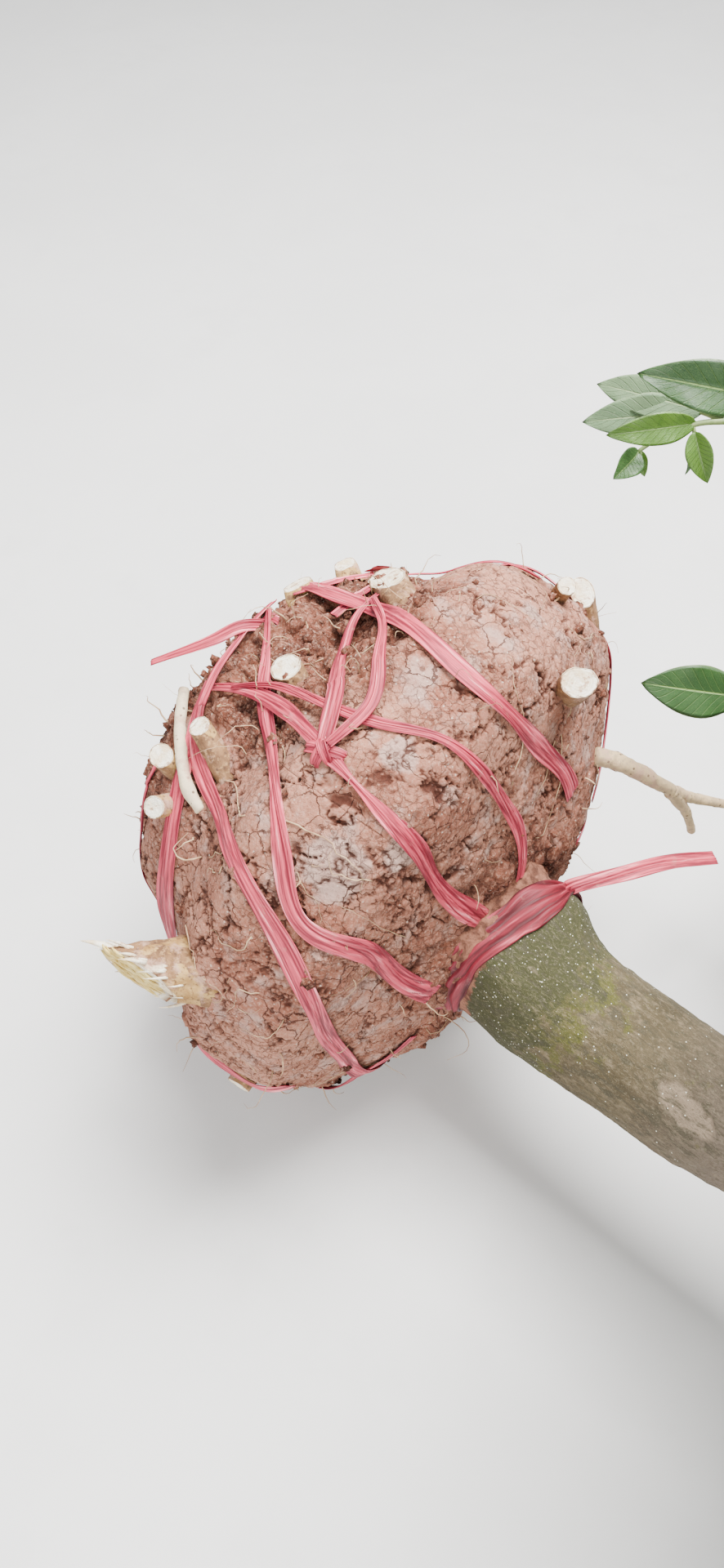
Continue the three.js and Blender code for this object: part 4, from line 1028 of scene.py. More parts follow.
@dataclass
class Trunk:
    """The trunk: a taper with a lobed flare, a bow and a sag, bark relief, healed knots and a scar.

    Lengths are millimetres. The sag begins, is full, fades and is gone at the four places of its
    span, and the swelling on the upper side is given by height, place and width. A healed knot has
    its place, its angle in radians and its size in metres.
    """

    length: float = 560.0
    foot_radius: float = 66.0
    top_radius: float = 54.0
    flare_radius: float = 17.0
    flare_fade: float = 34.0
    lobe_count: int = 5
    lobe_depth: float = 0.07
    lobe_fade: float = 60.0
    lobe_phase: float = 0.6
    bow: float = 8.0
    sag: float = 17.0
    sag_span: tuple[float, float, float, float] = (10, 80, 235, 370)
    upper_side: float = 0.52
    swelling: Triple = (19, 57, 32)
    healed_knots: tuple[Triple, ...] = ((180, 1.9, 0.018), (300, 3.5, 0.014), (110, 2.55, 0.011),
                                        (340, 0.7, 0.016))
    scar_centre: Triple = (405, -48, 288)
    scar_heading: Triple = (55, -11, -13)
    scar_size: Pair = (35, 17)
    rows: int = 300
    sides: int = 170

    def centre(self, along: Array) -> Array:
        """Middle of the trunk: half a sine wave, and a sag low down.

        Args:
            along: millimetres from the collar.

        Returns:
            Places in metres.
        """
        t = np.asarray(along, float) / self.length
        begin, full, fade, gone = self.sag_span
        sag = self.sag * ease(along, begin, full) * (1 - ease(along, fade, gone))
        return COLLAR + columns(along, self.bow * np.sin(np.pi * t) - sag * math.cos(self.upper_side),
                                self.bow * t * t - sag * math.sin(self.upper_side)) * MM

    def radius(self, along: Array, angle: Array) -> Array:
        """Radius of the trunk: taper, flare and lobes at the foot, and a swelling on one side.

        Args:
            along: millimetres from the collar.
            angle: radians round it, the same shape.

        Returns:
            Millimetres.
        """
        taper = mix(self.foot_radius, self.top_radius, np.asarray(along, float) / self.length)
        lobe = 1 + self.lobe_depth * np.exp(-along / self.lobe_fade) * np.cos(
            self.lobe_count * angle + self.lobe_phase)
        upper = np.clip(np.cos(angle - self.upper_side), 0, 1) ** 2
        height, place, width = self.swelling
        swell = height * np.exp(-((along - place) / width) ** 2)
        return (taper + self.flare_radius * np.exp(-along / self.flare_fade)) * lobe + upper * swell

    def build(self, bark: Material) -> None:
        """Makes the trunk's skin, from inside the soil to a rounded end inside the fork.

        Its relief is a long swell, fissures drawn out along it, fine grain, wrinkles across it in
        patches, soil caked on its foot, a low dome with a dimple for each healed knot, and a scar
        with a raised lip.
        """
        along = np.concatenate([[-9, -4], np.linspace(0, self.length - 12, self.rows - 8),
                                self.length - np.array([9, 6, 4, 2, 1, 0])])
        angle = TURN * np.arange(self.sides) / self.sides
        grid_along, grid_angle = np.meshgrid(along, angle, indexing="ij")
        round_end = np.sqrt(np.clip(1 - ((grid_along - self.length + 26) / 27).clip(0, 1) ** 2, 0.02, 1))
        radius = self.radius(np.maximum(grid_along, 0), grid_angle) * round_end
        out = columns(0 * grid_angle, np.cos(grid_angle), np.sin(grid_angle))
        plain = self.centre(grid_along) + out * (radius * MM)[..., None]
        flat = plain.reshape(-1, 3)
        swell = fractal(flat / (0.16, 0.075, 0.075), 81, 2) * 0.0034
        fissure = fractal(flat / (0.030, 0.0075, 0.0075), 82, 3) * 0.0008
        skin = fractal(flat / 0.010, 83, 3) * 0.0005
        wrinkle = np.sin(flat[:, 0] / 0.0075 + 5 * fractal(flat / 0.05, 84, 2))
        wrinkle = wrinkle * ease(fractal(flat / 0.07, 85, 2), 0.0, 0.5) * 0.0005
        height = (swell + fissure + skin + wrinkle).reshape(grid_along.shape)
        soiled = 1 - ease(grid_along + 12 * fractal(flat / 0.03, 88, 2).reshape(grid_along.shape), 8, 22)
        height = height + soiled * (0.003 + 0.004 * fractal(flat / 0.011, 87, 4).reshape(grid_along.shape))
        for place, turn, size in self.healed_knots:
            spot = self.centre(np.array(place)) + 0.06 * np.array([0, math.cos(turn), math.sin(turn)])
            away = np.linalg.norm(plain - spot, axis=-1) / size
            height = height + 0.0024 * np.exp(-away ** 2) - 0.0022 * np.exp(-(away * 2.3) ** 2)
        heading = unit(np.array(self.scar_heading))
        away = flat - np.array(self.scar_centre) * MM
        lengthwise = away @ heading
        sideways = np.linalg.norm(away - lengthwise[:, None] * heading, axis=1)
        reach = np.hypot(lengthwise / self.scar_size[0], sideways / self.scar_size[1]) / MM
        reach = reach + fractal(flat / 0.02, 86, 3) * 0.35
        scar = (1 - ease(reach, 0.80, 1.0)).reshape(grid_along.shape)
        lip = np.exp(-((reach - 1) / 0.14) ** 2).reshape(grid_along.shape)
        height = height - 0.0010 * scar + 0.0012 * lip
        rings = plain + out * height[..., None]
        last = self.centre(np.array([self.length]))
        shape = closed_tubes(rings[None], self.centre(np.array([-9.0])), last).outward()
        shape.uv = shape.uv * (0.40, self.length * MM)
        shape.fields = {"scar": np.append(scar, [0, 0])}
        make_piece("trunk_skin", shape, [bark], Slot.TRUNK, ("trunk",))


@dataclass(frozen=True)
class CutRoot:
    """A root sawn or chopped off outside the ball.

    Its places are (mm below the collar, degrees, mm of lift off the ball), and its radii are in
    millimetres at the soil and at the cut.
    """

    name: str
    start: Triple
    end: Triple
    radii: Pair
    slant: float = 0.4
    peel: float = 0.0
    oval: float = 1.0
    lean: float = 0.0


CUT_ROOTS = (
    CutRoot("root_shoulder", (168, 87, -12), (231, 73, 20), (15, 17), 0.62),
    CutRoot("root_split_wide", (290, 84, -12), (302, 79, 20), (20, 15), 0.45, 0.8, 0.6),
    CutRoot("root_split_narrow", (284, 66, -12), (294, 62, 20), (15, 11), 0.5, 0.9, 0.55),
    CutRoot("root_crown_side", (228, 107, -12), (242, 105, 18), (12, 14), 0.4),
    CutRoot("root_near_upper", (238, 132, -12), (276, 126, 17), (12, 10), 0.45, 0.42),
    CutRoot("root_near_pair_upper", (296, 140, -12), (292, 137, 18), (12, 11), 0.55, 0.48),
    CutRoot("root_near_pair_lower", (276, 145, -12), (271, 146, 20), (11, 10), 0.45, 0.5),
    CutRoot("root_great", (124, 168, -50), (180, 169, 42), (40, 25), 0.45, 0.62, 0.9, -0.70),
    CutRoot("root_far_long", (50, 26, -10), (112, 42, 16), (12, 12), 0.75, 0.4),
    CutRoot("root_far_stout", (42, 56, -14), (57, 72, 22), (15, 17), 0.15, 0.0, 0.8),
    CutRoot("root_far_small", (118, 48, -12), (114, 54, 17), (8, 9), 0.3, 0.6),
    CutRoot("root_far_short", (32, 12, -12), (28, 10, 24), (8, 7), 0.3, 0.6),
    CutRoot("root_low_near", (130, 216, -16), (134, 215, 30), (14, 13), 0.3),
    CutRoot("root_back_far", (150, 350, -16), (158, 348, 32), (16, 15), -0.2),
    CutRoot("root_back_low", (80, 318, -16), (86, 320, 28), (12, 11), 0.1),
    CutRoot("root_bottom", (330, 250, -16), (330, 250, 26), (15, 14), 0.2),
)
FORK_STEM = ((130, 196, 322), (152, 215, 312), (176, 236, 290), (200, 262, 258))
FORK_PRONGS = (((196, 258, 262), (214, 302, 220), (246, 356, 182)),
               ((196, 258, 262), (212, 284, 214), (222, 300, 168)))
THIN_ROOT = ((321, 121, 22), (308, 128, 13), (283, 134, 9), (258, 139, 6), (240, 141, -2))


@dataclass
class Roots:
    """Cut roots that stick out of the ball, a forked root beside it, and a thin one over a ribbon.

    On the great root's cut, the hollow is given by its place along, its place across and its reach,
    and the white patch by its places to the picture's right and top, in millimetres from the middle.
    """

    ball: RootBall
    upward: Array
    rows: int = 30
    sides: int = 64
    face_rows: int = 20
    hollow_at: Triple = (30.0, 3.0, 10.0)
    white_at: Pair = (17.0, 8.0)
    splinter_count: int = 26
    fibre_count: int = 70

    def __post_init__(self) -> None:
        """Works out the directions that point to the right and to the top of the picture."""
        self.right = unit(np.cross(UP, self.upward))
        self.top = np.cross(self.upward, self.right)

    def place(self, spot: Triple) -> Array:
        """A place lifted off the plain ball, or off the bottom's edge where it lies beyond the side.

        Args:
            spot: millimetres below the collar, degrees, and the lift in millimetres.

        Returns:
            The place in metres.
        """
        station, turn, lift = spot
        places, turns = np.array([min(station, self.ball.side_end)]), np.array([math.radians(turn)])
        if station > self.ball.side_end:
            return self.ball.form(places, turns)[0] - self.ball.axis * (lift + 2) * MM
        return self.ball.form(places, turns)[0] + self.ball.normal(places, turns)[0] * lift * MM

    def line(self, root: CutRoot) -> tuple[Array, Array, Array, Array]:
        """The middle line of a root, and which way its cut looks.

        Args:
            root: the root's sizes.

        Returns:
            Start, end, heading, and the direction that the cut looks in, which leans from the
            heading to the open side by the root's slant and to the picture's top by its lean.
        """
        start, end = self.place(root.start), self.place(root.end)
        heading = unit(end - start)
        along = 1 - abs(root.slant) if root.lean == 0 else 0.54
        return start, end, heading, unit(heading * along + self.upward * root.slant + self.top * root.lean)

    def long_way(self, cut: Array) -> Array:
        """On the great root's cut, the direction that runs down to the picture's right."""
        run = self.right * 0.79 - self.top * 0.62
        return unit(run - cut * (run @ cut))

    def hollowed(self, shape: Shape, middle: Array, cut: Array, on_face: Array) -> None:
        """Sinks a hollow with a raised rim into the great root's cut, marks it for painted shade, and marks
        the white patch.

        Args:
            shape: the great root's stub, which is changed.
            middle: the middle of its cut.
            cut: the direction that the cut looks in.
            on_face: which points lie on the cut.
        """
        run = self.long_way(cut)
        offset = shape.points - middle
        lengthwise = (offset @ run) / MM - self.hollow_at[0]
        sideways = (offset @ np.cross(cut, run)) / MM - self.hollow_at[1]
        near = np.hypot(lengthwise / 1.45, sideways) / self.hollow_at[2]
        inside = 1 - ease(near, 0.75, 1.05)
        sink = -0.012 * inside + 0.0022 * np.exp(-((near - 1.12) / 0.16) ** 2)
        shape.points = shape.points + cut * (sink * on_face)[:, None]
        # painted shade inside the sunk hollow
        shape.fields["rot"] = inside * on_face
        aside = offset @ self.right / MM - self.white_at[0]
        above = offset @ self.top / MM - self.white_at[1]
        shape.fields["pale"] = 1 - ease(np.hypot(aside / 20, above / 12), 0.6, 1.1)

    def stub(self, root: CutRoot, seed: int) -> Shape:
        """A root's stub: a knobbly tube with bark, then a slanting cut face with a rough rim.

        The tube's radius is a straight taper times noise. The cut face is rings that shrink to
        the middle on a slanted, slightly rough plane.

        Args:
            root: the stub's sizes.
            seed: picks its knobs.

        Returns:
            The shape, whose bark faces have finish 0 and whose cut faces have finish 1. The uv of
            the cut is the place on its disc. Its fields are peel, the mask of painted shade in the hollow,
            and pale.
        """
        start, end, heading, cut = self.line(root)
        across, over = (part[0] for part in cross_frame(heading[None]))
        reach = np.linalg.norm(end - start)
        angle = TURN * np.arange(self.sides) / self.sides
        share = np.linspace(0, 1, self.rows)
        radius = mix(root.radii[0], root.radii[1], share)[:, None] * MM * np.ones(self.sides)
        radius = radius * (1 + (root.oval - 1) * np.sin(angle) ** 2)
        disc = np.concatenate([np.ones(self.rows), np.linspace(0.97, 0.06, self.face_rows)])
        radius = np.vstack([radius, radius[-1] * disc[self.rows:, None]])
        along = np.concatenate([share * reach, np.full(self.face_rows, reach)])[:, None] * np.ones(self.sides)
        lean = (np.cos(angle) * (cut @ across) + np.sin(angle) * (cut @ over)) / max(cut @ heading, 0.40)
        along = along - radius * lean * ease(along / reach, 0.0, 1.0)

        def placed(forward: Array, reach_out: Array) -> Array:
            """Points at distances along the root and out from its middle line."""
            return (start + heading * forward[..., None] + across * (reach_out * np.cos(angle))[..., None]
                    + over * (reach_out * np.sin(angle))[..., None])

        spots = placed(along, radius).reshape(-1, 3) + seed * 0.37
        knobs = (fractal(spots / 0.021, 91, 3) * 0.10).reshape(radius.shape)
        ridges = gradient_noise(columns(np.cos(angle) * 3.2, np.sin(angle) * 3.2, seed), 92) * 0.07
        on_bark = (disc > 0.99)[:, None]
        bark_swell = np.where(on_bark, knobs + ridges, ridges + knobs * 0.4) * radius
        cut_grain = np.where(on_bark, 0, fractal(spots / 0.0035, 93, 2).reshape(radius.shape) * 0.0005)
        cut_grain = cut_grain - np.where(on_bark, 0, (1 - disc[:, None]) * 0.0006)
        rings = placed(along + cut_grain, radius + bark_swell)
        shape = closed_tubes(rings[None], start[None], rings[-1].mean(axis=0)[None])
        shape.finish_of_quads = np.repeat((disc[1:] < 0.99).astype(int), self.sides)
        shape.finish_of_triangles = np.repeat([0, 1], self.sides)
        over_bark = np.stack(np.broadcast_arrays(angle / TURN * 0.1, along), -1)
        on_disc = np.stack([disc[:, None] * np.cos(angle), disc[:, None] * np.sin(angle)], -1)
        sheet = np.where(on_bark[..., None], over_bark, on_disc)
        shape.uv = np.vstack([sheet.reshape(-1, 2), [[0, 0], [0, 0]]])
        patch = ease(fractal(spots / 0.028, 94, 2) + root.peel * 1.3 - 0.75, -0.1, 0.15)
        shape.dealt(peel=0.0, rot=0.0, pale=0.0)
        shape.fields["peel"][:-2] = patch * (root.peel > 0)
        if root.lean:
            on_face = np.append(np.repeat(disc < 0.99, self.sides), [False, True])
            self.hollowed(shape, start + heading * reach, cut, on_face)
        return shape.outward()

    def limb(self, points: tuple[Triple, ...], radii: Pair, seed: int, pale: float = 0.3) -> Shape:
        """A bent root, knobbly, with rounded ends and peeled bark.

        Args:
            points: places in millimetres that it runs through.
            radii: millimetres at its start and end.
            seed: picks its knobs.
            pale: share of pale wood in its colour.

        Returns:
            The shape, all of finish 0.
        """
        path = spline(np.array(points, float) * MM, 60)
        share = np.linspace(0, 1, 60)
        blunt = np.sqrt(np.clip(np.minimum(share, 1 - share) / 0.02, 0.05, 1))
        rings = rings_along(path[None], (mix(*radii, share) * MM * blunt)[None], 20)
        noise = fractal(rings.reshape(-1, 3) / 0.016, 95 + seed, 3).reshape(rings.shape[:3])
        middle = path[None, :, None]
        rings = middle + (rings - middle) * (1 + 0.22 * noise)[..., None]
        shape = closed_tubes(rings, path[None, 0], path[None, -1]).outward().finished(0)
        return shape.dealt(peel=0.92, pale=pale)

    def splinters(self, root: CutRoot) -> Shape:
        """Torn splinters and bark fibres at the great root's cut, as bent tapering spikes.

        Args:
            root: the great root's sizes.

        Returns:
            The shape, all of finish 1.
        """
        random = np.random.default_rng(8)
        _, end, heading, cut = self.line(root)
        across, over = (part[0] for part in cross_frame(heading[None]))
        count, below_cut = self.splinter_count, 7
        turn = random.uniform(0, TURN, count)
        turn[:below_cut] = math.atan2(-cut @ over, -cut @ across) + random.uniform(-0.5, 0.5, below_cut)
        out = around(across, over, turn)
        rim = out * root.radii[1] * MM * 0.93
        foot = end + rim - heading * (rim @ cut / (cut @ heading))[:, None]
        foot = foot - heading * random.uniform(0.004, 0.020, (count, 1))
        long = random.uniform(0.010, 0.026, (count, 1))
        long[0] = 0.030
        tip = foot + heading * long + out * long * random.uniform(-0.1, 0.5, (count, 1))
        t = np.linspace(0, 1, 7)
        paths = bend(foot, (foot + tip) / 2 + out * 0.003, tip, t)
        width = random.uniform(0.0008, 0.0024, (count, 1))
        width[0] = 0.0042
        return tubes(paths, width * (1 - 0.93 * t ** 1.5), 5).finished(1).dealt(peel=1, rot=0, pale=0.3)

    def fibres(self, root: CutRoot) -> Shape:
        """Yellow fibres laid open on the great root's cut, as thin strands that arch off it.

        Args:
            root: the great root's sizes.

        Returns:
            The shape, all of finish 2.
        """
        random = np.random.default_rng(9)
        _, end, _, cut = self.line(root)
        run = self.long_way(cut)
        aside = np.cross(cut, run)
        each = (self.fibre_count, 1)
        foot = end + run * random.uniform(-0.042, 0.004, each) + aside * random.uniform(-0.014, 0.014, each)
        swerve = run + aside * random.uniform(-0.22, 0.22, each)
        tip = foot + swerve * random.uniform(0.012, 0.030, each)
        via = (foot + tip) / 2 + cut * random.uniform(0.001, 0.005, each)
        t = np.linspace(0, 1, 9)
        radii = random.uniform(0.0008, 0.0017, each) * np.sqrt(np.clip(np.sin(np.pi * t), 0.15, 1))
        return tubes(bend(foot, via, tip, t), radii, 5).finished(2).dealt(peel=1, rot=0, pale=0.3)

    def build(self, bark: Material, wood: Material, fibre: Material) -> None:
        """Makes every stub, the forked root, and the thin root that lies over a ribbon."""
        for seed, root in enumerate(CUT_ROOTS):
            shape = self.stub(root, seed)
            if root.name == "root_great":
                torn = [self.splinters(root), self.fibres(root)]
                for part in torn:
                    part.uv = part.uv * 0.2
                shape = joined([shape, *torn])
            make_piece(root.name + "_stub", shape, [bark, wood, fibre], Slot.ROOT, (root.name,))
        parts = [self.limb(FORK_STEM, (10.5, 7.5), 1)]
        parts += [self.limb(prong, (7.5, 4.6), 2 + k) for k, prong in enumerate(FORK_PRONGS)]
        make_piece("root_forked_limbs", joined(parts), [bark, wood], Slot.ROOT, ("root_forked",))
        thin = tuple(tuple(self.place(spot) / MM) for spot in THIN_ROOT)
        make_piece("root_thin_over_ribbon", self.limb(thin, (5.2, 6.2), 7, 0.65), [bark, wood], Slot.ROOT)


@dataclass
class Rootlets:
    """Fine roots that creep over the soil and stick out of it, and straw-like bits in its skin."""

    ball: RootBall
    creeping: int = 80
    sprouting: int = 180
    stations: int = 16

    def creep(self, random: Random) -> Shape:
        """Thin roots that wander over the surface, half sunk, each turning by a smooth random walk.

        Args:
            random: the rootlets' generator.

        Returns:
            The shape.
        """
        count = self.creeping
        station = random.uniform(12, 330, count)
        turn = random.uniform(0, TURN, count)
        heading = random.uniform(0, TURN, count)
        wander = np.cumsum(random.normal(0, 0.42, (count, self.stations)), axis=1) + heading[:, None]
        stride = random.uniform(2.5, 8.0, (count, 1))
        station_path = station[:, None] + np.cumsum(np.cos(wander) * stride, axis=1)
        turn_path = turn[:, None] + np.cumsum(np.sin(wander) * stride / 250, axis=1)
        station_path = np.clip(station_path, 2, 335)
        points, _, _ = self.ball.surface(station_path, turn_path)
        normals = self.ball.normal(station_path, turn_path)
        t = np.linspace(0, 1, self.stations)
        rise = random.uniform(-0.0006, 0.0022, (count, 1)) * np.sin(t * np.pi)[None]
        width = random.uniform(0.0004, 0.0009, (count, 1)) * (1 - 0.75 * t)
        return tubes(points + normals * rise[..., None], width, 5)

    def sprout(self, random: Random) -> Shape:
        """Fine roots that leave the broken soil and its rims, curl, and droop under their weight.

        Args:
            random: the rootlets' generator.

        Returns:
            The shape.
        """
        tries = self.sprouting * 6
        station = random.uniform(2, 330, tries)
        turn = random.uniform(0, TURN, tries)
        points, rough, _ = self.ball.surface(station, turn)
        keep = np.flatnonzero((random.random(tries) < 0.10 + 0.5 * rough) & (points[:, 2] > 0.04))
        keep = keep[:self.sprouting]
        foot, normal = points[keep], self.ball.normal(station[keep], turn[keep])
        count = len(keep)
        long = random.uniform(0.014, 0.060, (count, 1)) * random.uniform(0.5, 1.0, (count, 1))
        lean = unit(normal + random.normal(0, 0.65, (count, 3)))
        tip = foot + lean * long - UP * long ** 2 * 6
        tip[:, 2] = np.maximum(tip[:, 2], 0.004)
        via = foot + normal * long * 0.6 + random.normal(0, 0.3, (count, 3)) * long
        via[:, 2] = np.maximum(via[:, 2], 0.004)
        t = np.linspace(0, 1, 10)
        paths = bend(foot - normal * 0.003, via, tip, t)
        curl = random.normal(0, 0.035, (count, 10, 3)) * long[:, None]
        curl = (curl[:, :-2] + curl[:, 1:-1] + curl[:, 2:]) / 2
        paths[:, 1:-1] += curl
        width = random.uniform(0.0004, 0.0011, (count, 1)) * (1 - 0.8 * t)
        return tubes(paths, width, 5)

    def build(self, skin: Material) -> None:
        """Makes both kinds as one piece each."""
        random = np.random.default_rng(17)
        make_piece("rootlets_creeping", self.creep(random), [skin], Slot.ROOT)
        make_piece("rootlets_sprouting", self.sprout(random), [skin], Slot.ROOT)


@dataclass(frozen=True)
class Mass:
    """One mass of the crown and the bough that carries it, in millimetres."""

    name: str
    centre: Triple
    radius: float
    seed: int
    root: Triple
    via: Triple
    radii: Pair
    bough: str = ""
    strays: tuple[Triple, ...] = ()

    def skeleton(self) -> tuple[Array, Array, Array, Array]:
        """Start, via, end and end heading of the bough, which stops just inside the mass."""
        root, via, centre = (np.array(spot, float) * MM for spot in (self.root, self.via, self.centre))
        tip = centre + unit(via - centre) * (self.radius - 18) * MM
        return root, via, tip, unit(tip - via)


MASSES = (
    Mass("up_low", (640, 40, 742), 305, 11, (540, 6, 250), (578, 14, 372), (24, 15),
         strays=((235, 55, 845),)),
    Mass("left_low", (600, 470, 300), 335, 12, (585, 6, 250), (600, 150, 262), (24, 15),
         strays=((240, 300, 396),)),
    Mass("right_low", (1070, -440, 290), 325, 13, (668, 4, 250), (800, -120, 250), (30, 17)),
    Mass("up_middle", (1100, 50, 780), 360, 14, (684, 4, 252), (800, 20, 430), (32, 17)),
    Mass("left_middle", (1070, 470, 350), 360, 15, (680, 6, 250), (760, 130, 268), (31, 17)),
    Mass("right_middle", (1500, -400, 310), 345, 16, (960, -12, 296), (1110, -90, 296), (23, 14)),
    Mass("up_top", (1560, 50, 690), 340, 17, (1080, -18, 312), (1190, 4, 400), (23, 14)),
    Mass("left_top", (1510, 410, 320), 345, 18, (1020, -16, 304), (1140, 90, 306), (23, 14)),
    Mass("tip", (1900, -10, 360), 345, 19, (690, 2, 254), (1120, -22, 318), (40, 17), bough="leader"),
)


@dataclass(frozen=True)
class Camera:
    """The photograph's camera: place, the way it looks, and its focal length in pixels."""

    place: Triple = (0.4699, -0.5311, 1.2564)
    azimuth: float = 42.25
    elevation: float = 52.0
    focal: float = 1440.0
    middle: Pair = (443.0, 960.0)
    long_side: float = 1920.0
    sensor: float = 36.0

    def back(self) -> Array:
        """Direction from what is looked at to the camera."""
        turn, rise = math.radians(self.azimuth), math.radians(self.elevation)
        return np.array([math.sin(turn) * math.cos(rise), -math.cos(turn) * math.cos(rise), math.sin(rise)])

    def spot(self, u: float, v: float, depth: float) -> Array:
        """The place that a pixel of the photograph shows.

        Args:
            u: pixels across.
            v: pixels down.
            depth: metres in front of the camera.

        Returns:
            The place in metres.
        """
        forward = -self.back()
        right = unit(np.cross(forward, UP))
        up = np.cross(right, forward)
        ray = forward + right * (u - self.middle[0]) / self.focal - up * (v - self.middle[1]) / self.focal
        return np.array(self.place) + ray * depth

    def beyond(self, points: Array) -> Array:
        """How far, in millimetres, points lie past the plane through the photograph's right edge."""
        return points @ np.array([867.3, 531.8, 242.4]) - 430

    def build(self) -> None:
        """Makes the camera and sets it as the scene's own."""
        data = bpy.data.cameras.new("camera")
        data.sensor_width = self.sensor
        data.sensor_fit = "AUTO"
        data.lens = self.sensor * self.focal / self.long_side
        data.clip_start = 0.02
        holder = bpy.data.objects.new("camera", data)
        holder.location = self.place
        holder.rotation_euler = Vector(self.back()).to_track_quat("Z", "Y").to_euler()
        bpy.context.scene.collection.objects.link(holder)
        bpy.context.scene.camera = holder


class Leaves:
    """Citrus leaves as thin closed blades, made many at a time."""
    """Citrus leaves as thin closed blades, made many at a time."""

    along = np.array([0.10, 0.28, 0.50, 0.72, 0.90])
    half = np.array([0.11, 0.21, 0.235, 0.175, 0.08])
    underside = 4
    stalk = 5

    @staticmethod
    def tinted(shape: Shape, tint: Array) -> Shape:
        """The same blades with each one's upper faces in its own finish, and the lower ones in one."""
        for faces, finish in ((shape.quads, "finish_of_quads"), (shape.triangles, "finish_of_triangles")):
            dealt = np.repeat(tint, len(faces) // len(tint))
            setattr(shape, finish, np.where(getattr(shape, finish) == 0, dealt, Leaves.underside))
        return shape

    @staticmethod
    def blades(base: Array, heading: Array, facing: Array, length: Array, fold: Array, curl: Array,
               wide: Array, along: Array, half: Array, lanes: int, ripple: float = 0.0) -> Shape:
        """Blades as closed grids: a lens of lanes across by the given stations along.

        Each blade lies along its heading and looks along its facing. The two halves fold up by
        the fold angle on either side of the midrib, and the midrib curls down along an arc. The
        upper and lower sheets meet along the margin and at both ends.

        Args:
            base: where each leaf joins its stalk, shape (n, 3).
            heading: directions from base to tip, shape (n, 3).
            facing: directions that the upper sides look in, shape (n, 3).
            length: metres, shape (n,).
            fold: radians, shape (n,).
            curl: radians that the midrib turns through, shape (n,).
            wide: width as a share of the usual one, shape (n,).
            along: stations between base and tip, as shares of the length.
            half: half widths there, as shares of the length.
            lanes: cells across each sheet, an even number.
            ripple: height of the margin's waves as a share of the length.

        Returns:
            The shape, uv from -1 to 1 across and 0 to 1 along, upper faces finish 0, lower 1.
        """
        count, rows = len(base), len(along)
        side = unit(np.cross(facing, heading))
        face = np.cross(heading, side)
        lane = np.linspace(-1, 1, lanes + 1)
        v, u = np.meshgrid(along, lane, indexing="ij")
        width = half[:, None] * wide[:, None, None] * u
        arc = v * curl[:, None, None]
        safe = np.where(np.abs(curl) < 1e-3, 1e-3, curl)[:, None, None]
        arc = np.where(np.abs(arc) < 1e-9, v * safe, arc)
        forward = np.sin(arc) / safe
        down = (1 - np.cos(arc)) / safe
        rise = np.abs(width) * np.sin(fold)[:, None, None]
        phase = base[:, 0] * 900
        wave = ripple * np.sin(v * 17 + phase[:, None, None] + u * 1.4) * u ** 2
        across = width * np.cos(fold)[:, None, None]
        up = rise - down + wave
        thick = 0.006 * (1 - np.abs(u) ** 3)
        size = length[:, None, None]

        def placed(lift: Array) -> Array:
            """Points of a sheet lifted by a share of the length."""
            return (base[:, None, None] + heading[:, None, None] * (forward * size)[..., None]
                    + side[:, None, None] * (across * size)[..., None]
                    + face[:, None, None] * ((up + lift) * size)[..., None])

        upper = placed(thick)
        lower = placed(-thick)[:, :, 1:-1]
        tip_down = (1 - np.cos(safe[:, 0, 0])) / safe[:, 0, 0]
        tip_out = np.sin(safe[:, 0, 0]) / safe[:, 0, 0]
        tip = base + heading * (tip_out * length)[:, None] - face * (tip_down * length)[:, None]
        per_upper, per_lower = rows * (lanes + 1), rows * (lanes - 1)
        stride = per_upper + per_lower + 2
        points = np.concatenate([upper.reshape(count, -1, 3), lower.reshape(count, -1, 3), base[:, None],
                                 tip[:, None]], axis=1).reshape(-1, 3)
        top = np.arange(per_upper).reshape(rows, lanes + 1)
        under = np.concatenate([top[:, :1], per_upper + np.arange(per_lower).reshape(rows, lanes - 1),
                                top[:, -1:]], axis=1)
        root, end = stride - 2, stride - 1
        grid_up, grid_down = grid_faces(top)[:, [0, 3, 2, 1]], grid_faces(under)
        fans_up = np.vstack([np.stack([np.full(lanes, root), top[0, 1:], top[0, :-1]], -1),
                             np.stack([np.full(lanes, end), top[-1, :-1], top[-1, 1:]], -1)])
        fans_down = np.vstack([np.stack([np.full(lanes, root), under[0, :-1], under[0, 1:]], -1),
                               np.stack([np.full(lanes, end), under[-1, 1:], under[-1, :-1]], -1)])
        quads, triangles = np.vstack([grid_up, grid_down]), np.vstack([fans_up, fans_down])
        shift = (np.arange(count) * stride)[:, None, None]
        flat_uv = np.concatenate([np.stack([u, v], -1).reshape(-1, 2),
                                  np.stack([u, v], -1)[:, 1:-1].reshape(-1, 2), [[0, 0], [0, 1]]])
        shape = Shape(points, (quads[None] + shift).reshape(-1, 4), (triangles[None] + shift).reshape(-1, 3),
                      uv=np.tile(flat_uv, (count, 1)))
        shape.finish_of_quads = np.tile(np.repeat([0, 1], [len(grid_up), len(grid_down)]), count)
        shape.finish_of_triangles = np.tile(np.repeat([0, 1], [len(fans_up), len(fans_down)]), count)
        return shape.outward()


@dataclass(frozen=True)
class TwigOrder:
    """One order of twigs: how many fork off each one before, from what share of it, and their sizes.

    The length is a share of the mass's radius, and the widths are radii in millimetres.
    """

    per_twig: int
    first_share: float
    length: float
    widths: Pair
    stations: int
    sides: int


TWIG_ORDERS = (TwigOrder(6, 0.3, 0.42, (2.5, 1.3), 8, 5), TwigOrder(3, 0.2, 0.22, (1.5, 0.8), 5, 4))


